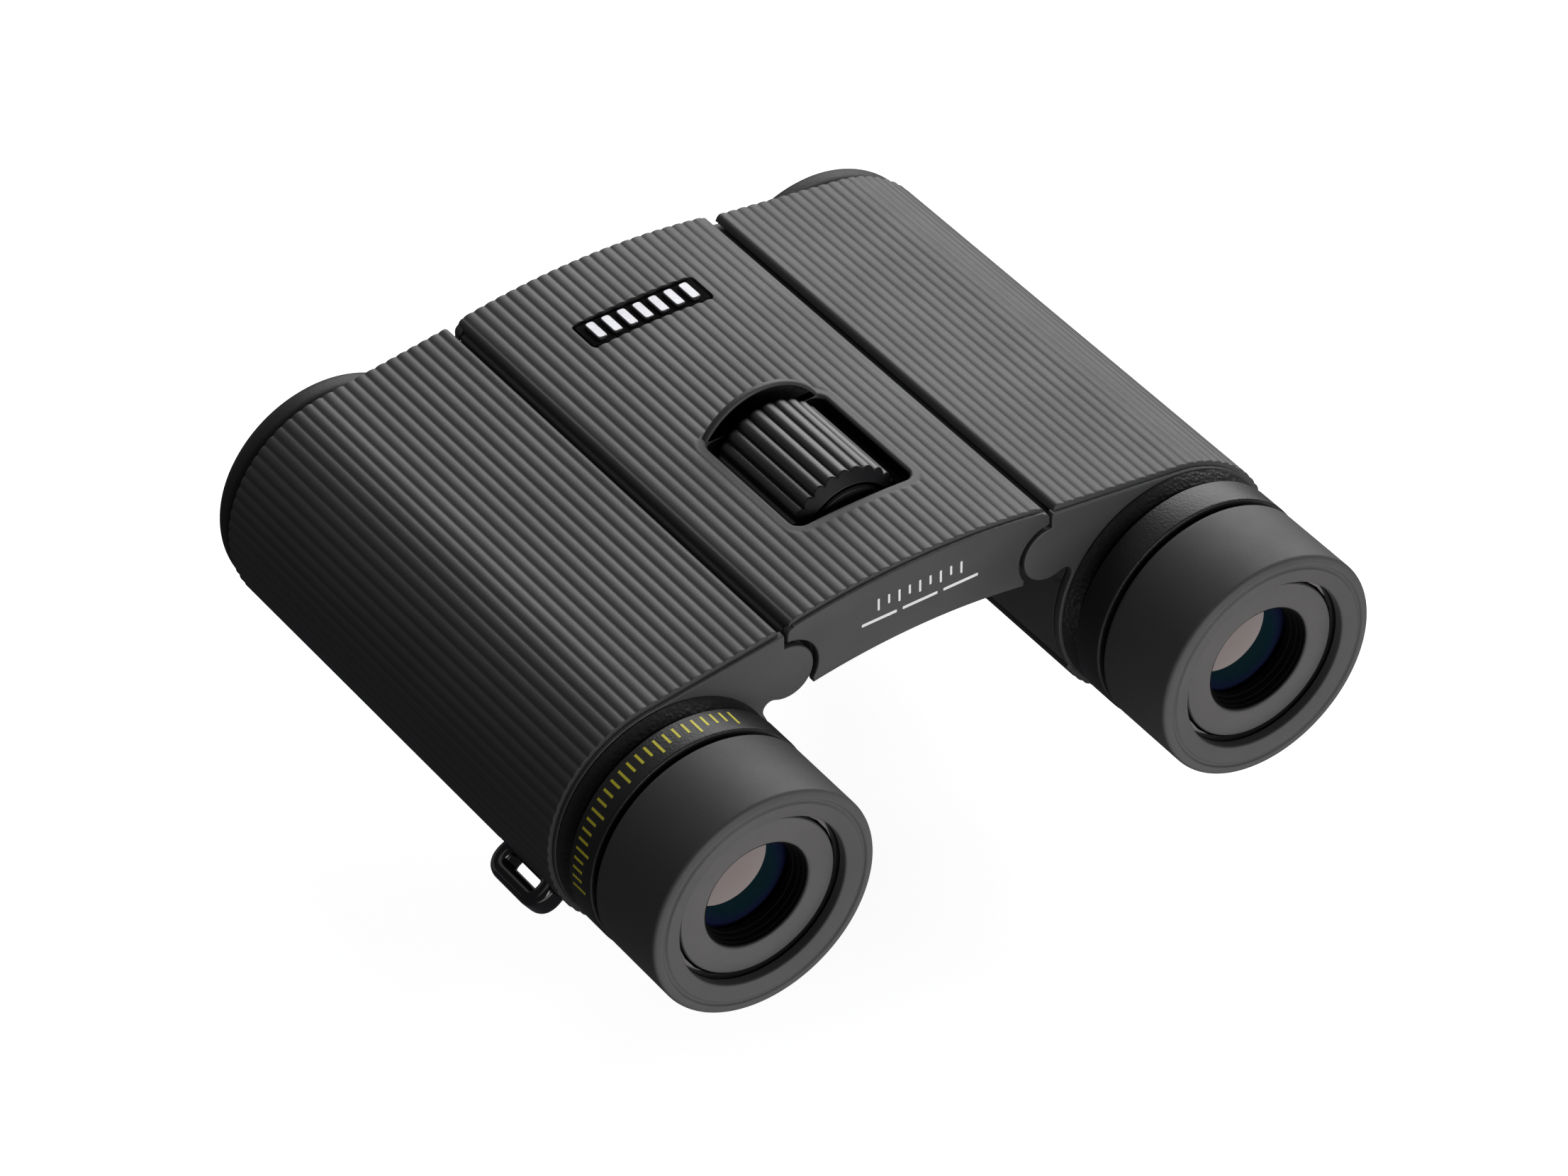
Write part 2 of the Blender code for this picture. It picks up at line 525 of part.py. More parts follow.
def build_eyepiece(side, word):
    hinge_origin = (side * HINGE_X, 0, HINGE_Z)
    axis = (side * HALF_SPAN, AXIS_Z)
    origin = (axis[0], 0, axis[1])
    collar = [(12.6, COLLAR_Y[0]), (16.0, COLLAR_Y[0]), (16.5, COLLAR_Y[1]), (12.6, COLLAR_Y[1])]
    turned(f"{word}_collar", axis, collar, hinge_origin, HOUSING_PLASTIC, FINE)
    ring_name = "left_name_ring" if side < 0 else "right_diopter_ring"
    ring = [
        (13.5, RING_Y[0]), (RING_R - 0.4, RING_Y[0]), (RING_R, RING_Y[0] + 0.4),
        (RING_R, RING_Y[1] - 0.3), (RING_R - 0.3, RING_Y[1]), (13.5, RING_Y[1]),
    ]
    turned(ring_name, axis, ring, hinge_origin if side < 0 else origin, HOUSING_PLASTIC, FINE)
    ocular_tube = [
        (11.2, -46.0), (11.5, -46.0), (11.5, -36.4), (13.2, -36.4), (13.2, -33.0), (12.0, -33.0),
        (12.0, -21.2), (11.2, -21.2),
    ]
    turned(f"{word}_ocular_tube", axis, ocular_tube, hinge_origin, BLACK_METAL, 24)
    cell_origin = hinge_origin if side < 0 else origin
    lens_cell = [
        (EYE_HOLE_R, LENS_RING_Y + 0.3), (EYE_HOLE_R + 0.3, LENS_RING_Y), (LENS_RING_R - 0.2, LENS_RING_Y),
        (LENS_RING_R, LENS_RING_Y + 0.2), (LENS_RING_R, -47.2), (10.9, -47.2), (10.9, -24.0), (9.9, -24.0),
        (9.9, -46.2), (EYE_HOLE_R, -46.2),
    ]
    turned(f"{word}_eye_lens_cell", axis, lens_cell, cell_origin, BLACK_METAL, 28)
    eye_lens = [(0, -45.6)] + lens_face(9.6, -44.9, -45.6, 3) + lens_face(9.6, -42.6, -40.8, 3)[::-1] + [(0, -40.8)]
    turned(f"{word}_eye_lens", axis, eye_lens, cell_origin, GLASS, 24)
    field_lens = [(0, -34.0)] + lens_face(9.5, -32.8, -34.0, 2) + lens_face(9.5, -30.8, -29.2, 2)[::-1] + [(0, -29.2)]
    turned(f"{word}_field_lens", axis, field_lens, cell_origin, GLASS, COARSE)
    sleeve = tube(13.15, 11.85, -49.3, -36.9)
    turned(f"{word}_eyecup_sleeve", axis, sleeve, origin, GLOSS_PLASTIC, 28)
    cup = [
        (13.5, EYECUP_REAR), (15.3, EYECUP_REAR), (EYECUP_R, EYECUP_REAR - 1.1), (EYECUP_R, -48.9),
        (EYECUP_R - 0.3, -50.3), (EYECUP_R - 1.0, -51.2), (EYECUP_R - 1.7, EYE_FACE), (13.6, -51.35),
        (EYECUP_HOLE_R, -50.9), (EYECUP_HOLE_R, -49.7), (13.5, -49.7),
    ]
    turned(f"{word}_eyecup", axis, cup, origin, CUP_RUBBER, FINE)


# Focusing

def build_wheel():
    origin = (0, 0, WHEEL_Z)
    y0, y1 = WHEEL_Y
    bm = bmesh.new()
    count = FLUTES * 3
    rings = []
    for y, shrink in ((y0, 1.1), (y0 + 0.9, 0.0), (y1, 0.0)):
        ring = []
        for i in range(count):
            turn = 2 * pi * i / count
            depth = FLUTE_DEPTH * (0, 0.6, 1)[i % 3] * (0 if shrink else 1)
            radius = WHEEL_R - depth - shrink
            ring.append(bm.verts.new((radius * cos(turn), y, WHEEL_Z + radius * sin(turn))))
        rings.append(ring)
    for y in (y1, y0):
        ring = [2 * pi * i / count for i in range(count)]
        rings.append([bm.verts.new((6.6 * cos(t), y, WHEEL_Z + 6.6 * sin(t))) for t in ring])
    for near, far in zip(rings, rings[1:] + rings[:1]):
        for i in range(count):
            j = (i + 1) % count
            bm.faces.new((near[i], near[j], far[j], far[i]))
    finish("focus_wheel_grip", bm, origin, GRIP_RUBBER)
    hub = [
        (SHAFT_BORE, y0 - 0.4), (5.6, y0 - 0.4), (6.3, y0), (6.3, y1), (SHAFT_BORE, y1),
    ]
    turned("focus_wheel_hub", (0, WHEEL_Z), hub, origin, GLOSS_PLASTIC, 24)
    screw = [(0, -21.2), (SHAFT_R, -21.2), (SHAFT_R, 5.0)]
    for i in range(9):
        y = 5.4 + 2.6 * i
        screw += [(SHAFT_R, y), (SHAFT_R - 0.35, y + 1.3)]
    screw += [(SHAFT_R, 29.8), (SHAFT_R, 35.0), (0, 35.0)]
    turned("focus_lead_screw", (0, WHEEL_Z), screw, origin, STEEL, PIN_STEPS)


def build_linkage():
    """The nut, its arms out to the hinge lines, and the rods that the focusing cells follow."""
    origin = (0, 8.5, WHEEL_Z)
    y0, y1 = YOKE_Y
    low, high = HINGE_Z - 0.4, HINGE_Z + 1.4
    bar = [(-HINGE_X, low), (HINGE_X, low), (HINGE_X, high), (-HINGE_X, high)]
    yoke = extruded("focus_yoke", bar, y0, y1, origin, BRASS)
    cutter(rod_tool("nut_boss", (0, WHEEL_Z), 2.9, y0, y1 + 2.0), yoke, "UNION")
    cutter(rod_tool("nut_bore", (0, WHEEL_Z), SHAFT_BORE, y0 - 1, y1 + 3), yoke)
    for side, word in ((-1, "left"), (1, "right")):
        centre = (side * HINGE_X, HINGE_Z)
        cutter(rod_tool(f"{word}_yoke_eye", centre, LINK_R - 0.2, y0, y1), yoke, "UNION")
        cutter(rod_tool(f"{word}_yoke_eye_bore", centre, PIN_BORE, y0 - 1, y1 + 1, PIN_STEPS), yoke)
        c0, c1 = CARRIER_Y
        rod = [
            (0, ROD_Y[0]), (PIN_R, ROD_Y[0]), (PIN_R, c0 - 1.3), (2.2, c0 - 1.3), (2.2, c0 - 0.3), (PIN_R, c0 - 0.3),
            (PIN_R, c1 + 0.3), (2.2, c1 + 0.3), (2.2, c1 + 1.3), (PIN_R, c1 + 1.3), (PIN_R, ROD_Y[1]), (0, ROD_Y[1]),
        ]
        turned(f"{word}_transfer_rod", centre, rod, (centre[0], 0, centre[1]), STEEL, PIN_STEPS)
        build_focus_cell(side, word)


def build_focus_cell(side, word):
    axis = (side * HALF_SPAN, AXIS_Z)
    origin = (axis[0], 0, axis[1])
    c0, c1 = CARRIER_Y
    cell = turned(f"{word}_focus_cell", axis, tube(BORE_R - 0.4, 9.6, c0 - 1.0, c1 + 4.0), origin, BLACK_METAL, 24)
    reach = hypot(HALF_SPAN - HINGE_X, HINGE_Z - AXIS_Z)
    arm = radial_block(f"{word}_carrier_arm", side, CARRIER_ANGLE, (c0, c1), (BORE_R - 2.0, reach), 2.4)
    cutter(arm, cell, "UNION")
    hinge = (side * HINGE_X, HINGE_Z)
    cutter(rod_tool(f"{word}_carrier_eye", hinge, LINK_R, c0, c1), cell, "UNION")
    cutter(rod_tool(f"{word}_carrier_eye_bore", hinge, PIN_BORE, c0 - 1, c1 + 1, PIN_STEPS), cell)
    lens = [(0, 16.6)] + lens_face(9.3, 15.6, 16.6, 2) + lens_face(9.3, 19.6, 18.2, 2)[::-1] + [(0, 18.2)]
    turned(f"{word}_focus_lens", axis, lens, origin, GLASS, COARSE)


build_bridge()
for barrel_side, barrel_word in ((-1, "left"), (1, "right")):
    build_barrel(barrel_side, barrel_word)
    build_eyepiece(barrel_side, barrel_word)
build_wheel()
build_linkage()
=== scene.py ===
"""Looks for the compact double-hinge binoculars: ribbed rubber, satin plastic and coated glass.

Shapes below are drawn in millimetres in the frame's own axes, and MM turns them into metres.
"""

from math import acos, atan2, ceil, cos, degrees, hypot, pi, radians, sin

import bmesh
import bpy
from mathutils import Matrix, Vector


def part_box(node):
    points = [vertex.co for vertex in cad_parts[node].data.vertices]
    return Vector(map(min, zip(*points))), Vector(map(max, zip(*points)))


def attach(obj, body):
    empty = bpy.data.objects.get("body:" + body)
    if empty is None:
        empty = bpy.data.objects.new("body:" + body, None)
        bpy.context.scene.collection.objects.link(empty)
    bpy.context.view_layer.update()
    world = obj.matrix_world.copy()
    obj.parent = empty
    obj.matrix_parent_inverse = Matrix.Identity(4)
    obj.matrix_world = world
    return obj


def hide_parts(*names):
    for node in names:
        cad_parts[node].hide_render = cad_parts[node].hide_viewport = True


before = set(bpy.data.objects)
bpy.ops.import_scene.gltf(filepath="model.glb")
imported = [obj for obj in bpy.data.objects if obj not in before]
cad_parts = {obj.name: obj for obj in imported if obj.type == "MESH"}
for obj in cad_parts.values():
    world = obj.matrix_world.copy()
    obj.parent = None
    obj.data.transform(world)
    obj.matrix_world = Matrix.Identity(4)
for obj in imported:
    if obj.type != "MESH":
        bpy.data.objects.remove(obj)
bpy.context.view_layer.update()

MM = 0.001


def box_mm(node):
    low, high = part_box(node)
    return low / MM, high / MM


# Places read from the frame
eyecup_low, eyecup_high = box_mm("left_eyecup")
HALF_SPAN = -(eyecup_low.x + eyecup_high.x) / 2
AXIS_Z = (eyecup_low.z + eyecup_high.z) / 2
EYE_FACE = eyecup_low.y
BARREL_R = -box_mm("left_barrel_armour")[0].x - HALF_SPAN
RIM_FACE = box_mm("left_objective_rim")[1].y
OCULAR_END = box_mm("left_end_plate")[0].y
OBJECTIVE_END = box_mm("bridge_objective_plate")[1].y

# Bridge
PLATE = 1.2  # thickness of the end plates
CROWN_Z = AXIS_Z + 22.2
BRIDGE_HALF = 20.3
BRIDGE_CORNER_Z = AXIS_Z + 20.3
BELLY_HALF = 16.3
BELLY_CORNER_Z = AXIS_Z + 9.35
BELLY_ARCH_Z = AXIS_Z + 10.75
CAVITY_HALF = 11.0
CAVITY_TOP = AXIS_Z + 19.4
CAVITY_Y = (-17.0, 31.0)
YOKE_SLOT_Y = (3.6, 13.4)
BADGE_HALF = 9.3
BADGE_Y = (30.3, 35.5)

# Ribbed rubber
ARMOUR = 1.2  # thickness over the ribs' crests
SKIN = 1.5  # from the crests down to the housing
RIB_PITCH = 1.65
RIB_DEPTH = 0.20
SKIN_HALF = 19.75  # half of the bridge skin's width
LIP = 0.62  # thickness where the skin laps over an end plate
LIP_REACH = PLATE - 0.3  # how far the thin part runs in from the skin's end

# Hinges
HINGE_X = 20.4
HINGE_Z = AXIS_Z + 12.85
KNUCKLE_R = 4.05
SOCKET_R = 4.8
PIN_BORE = 1.55
REAR_EAR = (-19.6, -12.4)
FRONT_EAR = (28.4, 35.6)
EAR_PLAY = 0.4
LINK_ZONE = (3.2, 24.2)  # the knuckle is open here for the focusing linkage

# Barrels
BARREL_SIDE = 20.7
BARREL_CORNER_Z = AXIS_Z + 20.0
ARMOUR_END_DEG = -152.0  # where the rubber stops on the barrel's inner side
INNER_COVER_R = 16.9
FILLET_R = 1.25
BORE_R = 14.1
OCULAR_BORE_R = 12.3
OCULAR_STEP = -20.0
RING_R = 16.6
LUG_ANGLE = 215.0
LUG_Y = (-26.1, -14.7)
LUG_RADII = (16.1, 21.2)
LUG_WIDTH = 3.8
LUG_BAND = 2.4

# Focusing wheel and its window
WHEEL_Z = AXIS_Z + 16.1
WHEEL_R = 8.75
WHEEL_Y = (-13.9, 4.4)
FLUTES = 26
FLUTE_DEPTH = 0.55
WINDOW_HALF_X = 9.2
WINDOW_Y = (-15.6, 5.6)
WINDOW_R = 1.7

# Printed marks
INK = 0.035  # how far they stand out
INK_ROOT = 0.1  # how far they reach into the surface


# Mesh helpers

def spread(start, end, count):
    return [start + (end - start) * i / count for i in range(count + 1)]


def polar(cx, cz, radius, angle):
    """The point on a circle at an angle in degrees."""
    turn = radians(angle)
    return (cx + radius * cos(turn), cz + radius * sin(turn))


def arc(cx, cz, radius, start, end, count):
    """Points on an arc, angles in degrees, both ends included."""
    return [polar(cx, cz, radius, angle) for angle in spread(start, end, count)]


def rectangle(x0, x1, z0, z1):
    return [(x0, z0), (x1, z0), (x1, z1), (x0, z1)]


def mirrored(points, side):
    return [(side * x, z) for x, z in points]


def smooth_step(low, high, value):
    t = min(1.0, max(0.0, (value - low) / (high - low)))
    return t * t * (3 - 2 * t)


def rounded(points, radius, steps=4):
    """Rounds the corners of a closed outline. A point's third value, if any, is its own radius."""
    out = []
    for i, point in enumerate(points):
        size = point[2] if len(point) > 2 else radius
        here = Vector(point[:2])
        back = Vector(points[i - 1][:2]) - here
        ahead = Vector(points[(i + 1) % len(points)][:2]) - here
        reach = min(size, back.length * 0.48, ahead.length * 0.48)
        if reach < 1e-4:
            out.append(tuple(here))
            continue
        start, end = here + back.normalized() * reach, here + ahead.normalized() * reach
        for t in spread(0.0, 1.0, steps):
            out.append(tuple(start * (1 - t) ** 2 + here * (2 * t * (1 - t)) + end * t * t))
    return out


def outward_normals(outline):
    """The normal at each point of a closed outline, long enough to keep a true offset at a corner."""
    area = sum(a[0] * b[1] - b[0] * a[1] for a, b in zip(outline, outline[1:] + outline[:1]))
    sign = 1.0 if area > 0 else -1.0
    normals = []
    for i, here in enumerate(outline):
        before, after = outline[i - 1], outline[(i + 1) % len(outline)]
        u = (Vector(here) - Vector(before)).normalized()
        w = (Vector(after) - Vector(here)).normalized()
        mean = Vector((u.y + w.y, -u.x - w.x)) * sign
        if mean.length < 1e-6:
            mean = Vector((u.y, -u.x)) * sign
        mean.normalize()
        across = max(0.5, mean.dot(Vector((u.y, -u.x)) * sign))
        normals.append(mean / across)
    return normals


def make_object(name, verts, faces, sharp=32.0):
    """A closed mesh drawn in millimetres."""
    bm = bmesh.new()
    made = [bm.verts.new([c * MM for c in v]) for v in verts]
    for face in faces:
        corners = [made[i] for i in dict.fromkeys(face)]
        if len(corners) > 2:
            bm.faces.new(corners)
    bmesh.ops.remove_doubles(bm, verts=bm.verts, dist=2e-7)
    bmesh.ops.dissolve_degenerate(bm, edges=bm.edges, dist=1e-7)
    bmesh.ops.recalc_face_normals(bm, faces=bm.faces)
    mesh = bpy.data.meshes.new(name)
    bm.to_mesh(mesh)
    bm.free()
    obj = bpy.data.objects.new(name, mesh)
    bpy.context.scene.collection.objects.link(obj)
    shade(obj, sharp)
    return obj


def shade(obj, sharp=32.0):
    obj.data.shade_smooth()
    obj.data.set_sharp_from_angle(angle=radians(sharp))


def grid_faces(rows, columns, close_rows=False, close_columns=True):
    faces = []
    for i in range(rows if close_rows else rows - 1):
        for j in range(columns if close_columns else columns - 1):
            a, b = i * columns, ((i + 1) % rows) * columns
            k = (j + 1) % columns
            faces.append((a + j, a + k, b + k, b + j))
    return faces


def capped_faces(rows, columns):
    """Faces of a closed tube made of rows of points, with a cap on its first and last row."""
    last = (rows - 1) * columns
    return grid_faces(rows, columns) + [tuple(range(columns)), tuple(range(last, last + columns))]


def levelled(outline, levels):
    """The rows of a closed (x, y) outline repeated at each level of (z, inset)."""
    normals = outward_normals(outline)
    verts = []
    for z, inset in levels:
        verts += [(x - n.x * inset, y - n.y * inset, z) for (x, y), n in zip(outline, normals)]
    return verts, capped_faces(len(levels), len(outline))


def gathered(name, parts):
    """One object from several closed parts, each a list of points and a list of faces."""
    verts, faces = [], []
    for part_verts, part_faces in parts:
        start = len(verts)
        verts += part_verts
        faces += [tuple(start + k for k in face) for face in part_faces]
    return make_object(name, verts, faces)


def turned(name, centre, profile, steps=128, sharp=32.0):
    """Turns a closed (radius, y) profile about the Y line through centre (x, z)."""
    verts = []
    for a in spread(0.0, 2 * pi, steps)[:-1]:
        verts += [(centre[0] + r * cos(a), y, centre[1] + r * sin(a)) for r, y in profile]
    return make_object(name, verts, grid_faces(steps, len(profile), close_rows=True), sharp)


def slab(name, outline, y0, y1, bevel=0.25, steps=3, sharp=32.0):
    """Extrudes a closed (x, z) outline along Y, with rounded edges at both ends."""
    normals = outward_normals(outline)
    levels = [(y0 + bevel * (1 - cos(t)), bevel * (1 - sin(t))) for t in spread(0.0, pi / 2, steps)]
    levels += [(y1 - (y - y0), inset) for y, inset in levels[::-1]]
    verts = []
    for y, inset in levels:
        verts += [(x - n.x * inset, y, z - n.y * inset) for (x, z), n in zip(outline, normals)]
    return make_object(name, verts, capped_faces(len(levels), len(outline)), sharp)


def rod(name, centre, radius, y0, y1, steps=64):
    return turned(name, centre, [(0, y0), (radius, y0), (radius, y1), (0, y1)], steps)


def block(name, x0, x1, y0, y1, z0, z1):
    return slab(name, rectangle(x0, x1, z0, z1), y0, y1, bevel=0.0, steps=1)


def carve(obj, tools, operation="DIFFERENCE", sharp=32.0):
    """Cuts the tools out of obj, or joins them to it, and keeps the result as its mesh."""
    for tool in tools:
        step = obj.modifiers.new(tool.name, "BOOLEAN")
        step.object = tool
        step.operation = operation
        step.solver = "EXACT"
    bpy.context.view_layer.update()
    graph = bpy.context.evaluated_depsgraph_get()
    mesh = bpy.data.meshes.new_from_object(obj.evaluated_get(graph))
    obj.modifiers.clear()
    obj.data = mesh
    for tool in tools:
        bpy.data.objects.remove(tool, do_unlink=True)
    shade(obj, sharp)
    return obj


def fit(obj, body, mat, slot, *nodes):
    """Finishes a piece: its material, the body it moves with, and the CAD nodes it stands for."""
    obj.data.materials.clear()
    obj.data.materials.append(mat)
    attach(obj, body)
    if nodes:
        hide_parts(*nodes)
    return obj


# Materials

def new_material(name):
    mat = bpy.data.materials.new(name)
    mat.use_nodes = True
    tree = mat.node_tree
    return mat, tree, tree.nodes["Principled BSDF"]


def noise(tree, coords, scale, detail=2.0, rough=0.5):
    node = tree.nodes.new("ShaderNodeTexNoise")
    node.inputs["Scale"].default_value = scale
    node.inputs["Detail"].default_value = detail
    node.inputs["Roughness"].default_value = rough
    tree.links.new(coords, node.inputs["Vector"])
    return node.outputs["Fac"]


def ranged(tree, value, from_low, from_high, to_low, to_high):
    node = tree.nodes.new("ShaderNodeMapRange")
    node.inputs["From Min"].default_value = from_low
    node.inputs["From Max"].default_value = from_high
    node.inputs["To Min"].default_value = to_low
    node.inputs["To Max"].default_value = to_high
    tree.links.new(value, node.inputs["Value"])
    return node.outputs["Result"]


def mixed(tree, factor, low, high):
    node = tree.nodes.new("ShaderNodeMix")
    node.data_type = "RGBA"
    node.inputs["A"].default_value = (*low, 1.0)
    node.inputs["B"].default_value = (*high, 1.0)
    tree.links.new(factor, node.inputs["Factor"])
    return node.outputs["Result"]


def bumped(tree, height, depth, below=None):
    """A bump of a depth in millimetres, laid over the one below it."""
    bump = tree.nodes.new("ShaderNodeBump")
    bump.inputs["Strength"].default_value = 1.0
    bump.inputs["Distance"].default_value = depth * MM
    tree.links.new(height, bump.inputs["Height"])
    if below:
        tree.links.new(below.outputs["Normal"], bump.inputs["Normal"])
    return bump


def grained(name, colour, rough, grain=3000.0, height=0.03, patch=70.0, tint=0.18, spread_by=0.07,
            metal=0.0, specular=0.5, pebble=None, coat=0.0):
    """A moulded or machined surface: fine grain, and faint patches of shade and gloss.

    A pebbled one also has rounded cells, given as (scale, height). Heights are in millimetres.
    """
    mat, tree, shader = new_material(name)
    coords = tree.nodes.new("ShaderNodeTexCoord").outputs["Object"]
    fine = noise(tree, coords, grain, 3.0, 0.6)
    broad = noise(tree, coords, patch, 4.0, 0.6)
    both = tree.nodes.new("ShaderNodeMath")
    both.operation = "MULTIPLY_ADD"
    both.inputs[1].default_value = 0.65
    tree.links.new(fine, both.inputs[0])
    tree.links.new(ranged(tree, broad, 0.3, 0.7, 0.0, 0.35), both.inputs[2])
    low = tuple(c * (1 - tint) for c in colour)
    high = tuple(min(1.0, c * (1 + tint)) for c in colour)
    tree.links.new(mixed(tree, both.outputs[0], low, high), shader.inputs["Base Color"])
    tree.links.new(ranged(tree, both.outputs[0], 0.2, 0.8, rough + spread_by, rough - spread_by),
                   shader.inputs["Roughness"])
    bump = bumped(tree, fine, height)
    if pebble:
        scale, pebble_height = pebble
        cells = tree.nodes.new("ShaderNodeTexVoronoi")
        cells.feature = "SMOOTH_F1"
        cells.inputs["Scale"].default_value = scale
        tree.links.new(coords, cells.inputs["Vector"])
        bump = bumped(tree, cells.outputs["Distance"], pebble_height, below=bump)
        bump.invert = True
    tree.links.new(bump.outputs["Normal"], shader.inputs["Normal"])
    shader.inputs["Metallic"].default_value = metal
    shader.inputs["Specular IOR Level"].default_value = specular
    shader.inputs["Coat Weight"].default_value = coat
    return mat


def vector_step(tree, operation, value, constant=None):
    node = tree.nodes.new("ShaderNodeVectorMath")
    node.operation = operation
    tree.links.new(value, node.inputs[0])
    if constant:
        node.inputs[1].default_value = constant
    return node


def coated_glass(name, centre, radius, middle, edge, rim):
    """Dark coated glass seen from outside: the tint changes from the middle of the lens to its rim."""
    mat, tree, shader = new_material(name)
    coords = tree.nodes.new("ShaderNodeTexCoord").outputs["Object"]
    offset = vector_step(tree, "SUBTRACT", coords, (centre[0] * MM, 0.0, centre[1] * MM))
    flat = vector_step(tree, "MULTIPLY", offset.outputs["Vector"], (1.0, 0.0, 1.0))
    length = vector_step(tree, "LENGTH", flat.outputs["Vector"])
    share = ranged(tree, length.outputs["Value"], 0.0, radius * MM, 0.0, 1.0)
    ramp = tree.nodes.new("ShaderNodeValToRGB")
    ramp.color_ramp.elements[0].color = (*middle, 1.0)
    ramp.color_ramp.elements[0].position = 0.15
    ramp.color_ramp.elements[1].color = (*rim, 1.0)
    ramp.color_ramp.elements[1].position = 0.97
    between = ramp.color_ramp.elements.new(0.72)
    between.color = (*edge, 1.0)
    tree.links.new(share, ramp.inputs["Fac"])
    tree.links.new(ramp.outputs["Color"], shader.inputs["Base Color"])
    dust = noise(tree, coords, 900.0, 3.0, 0.6)
    tree.links.new(ranged(tree, dust, 0.3, 0.7, 0.015, 0.05), shader.inputs["Roughness"])
    shader.inputs["IOR"].default_value = 1.6
    shader.inputs["Specular IOR Level"].default_value = 1.0
    shader.inputs["Specular Tint"].default_value = (1.0, 0.82, 0.80, 1.0)
    return mat


RUBBER = grained("ribbed_rubber", (0.038, 0.038, 0.039), 0.56, grain=3200, height=0.022, tint=0.16,
                 spread_by=0.04, specular=0.42)
CUP = grained("eyecup_rubber", (0.045, 0.045, 0.046), 0.60, grain=4200, height=0.012, tint=0.12,
              specular=0.32)
RIM = grained("rim_rubber", (0.017, 0.017, 0.018), 0.58, grain=2600, height=0.035, tint=0.2, specular=0.26)
GRIP = grained("wheel_rubber", (0.010, 0.010, 0.011), 0.40, grain=3600, height=0.012, tint=0.2, specular=0.55)
SHELL = grained("grained_plastic", (0.038, 0.038, 0.040), 0.52, grain=4200, height=0.014, tint=0.16,
                specular=0.4)
PEBBLED = grained("pebbled_plastic", (0.013, 0.013, 0.014), 0.46, grain=3800, height=0.012,
                  pebble=(2100.0, 0.10), specular=0.26)
RING = grained("satin_ring", (0.010, 0.010, 0.011), 0.46, grain=4600, height=0.012, tint=0.3,
               pebble=(3600.0, 0.035), specular=0.32)
GLOSS = grained("gloss_plastic", (0.008, 0.008, 0.009), 0.12, grain=1200, height=0.002, spread_by=0.03,
                coat=0.3)
DISC = grained("satin_black_plastic", (0.005, 0.005, 0.006), 0.50, grain=3600, height=0.008, specular=0.2)
ANODISED = grained("black_anodised", (0.046, 0.046, 0.047), 0.52, grain=4600, height=0.014,
                   specular=0.35)
BAFFLE = grained("black_baffle", (0.0025, 0.0025, 0.0025), 0.9, grain=4000, height=0.010, specular=0.05)
STEEL = grained("ground_steel", (0.50, 0.50, 0.52), 0.28, grain=2400, height=0.004, metal=1.0, tint=0.08)
BRASS = grained("machined_brass", (0.66, 0.48, 0.22), 0.30, grain=2200, height=0.004, metal=1.0, tint=0.1)
SILVER = grained("silver_plate", (0.26, 0.26, 0.27), 0.42, grain=2600, height=0.004, metal=1.0, tint=0.06)
WHITE_INK = grained("white_ink", (0.70, 0.70, 0.70), 0.55, grain=4200, height=0.006, tint=0.05)
YELLOW_INK = grained("yellow_ink", (0.58, 0.52, 0.02), 0.55, grain=4200, height=0.006, tint=0.08)
INNER_GLASS = grained("inner_glass", (0.10, 0.14, 0.14), 0.06, grain=900, height=0.001, spread_by=0.02,
                      tint=0.1)


# Outlines shared with the frame

def bridge_top(x, drop=0.0):
    rise = CROWN_Z - BRIDGE_CORNER_Z
    radius = (BRIDGE_HALF**2 + rise**2) / (2 * rise)
    return CROWN_Z - drop - radius + (radius**2 - x**2) ** 0.5


def bridge_belly(x, lift=0.0):
    rise = BELLY_ARCH_Z - BELLY_CORNER_Z
    radius = (BELLY_HALF**2 + rise**2) / (2 * rise)
    return BELLY_ARCH_Z + lift - radius + (radius**2 - x**2) ** 0.5


def bridge_outline(drop, corner=0.5):
    """The bridge's section: crowned top, a socket each side, hollowed belly."""
    top = [(x, bridge_top(x, drop)) for x in spread(-BRIDGE_HALF + corner, BRIDGE_HALF - corner, 40)]
    shoulder = arc(BRIDGE_HALF - corner, bridge_top(BRIDGE_HALF, drop) - corner, corner, 85, 0, 4)
    socket = arc(HINGE_X, HINGE_Z, SOCKET_R, 91.2, 214.0, 28)
    right = shoulder + socket
    belly = [(x, bridge_belly(x)) for x in spread(BELLY_HALF, -BELLY_HALF, 32)]
    return top + right + belly + mirrored(right[::-1], -1)


def flange_line(radius, corner_z):
    """The angle at which a line from the barrel's top corner touches its round outside."""
    dx, dz = BARREL_SIDE - HALF_SPAN, corner_z - AXIS_Z
    return degrees(atan2(dz, dx) - acos(radius / hypot(dx, dz)))


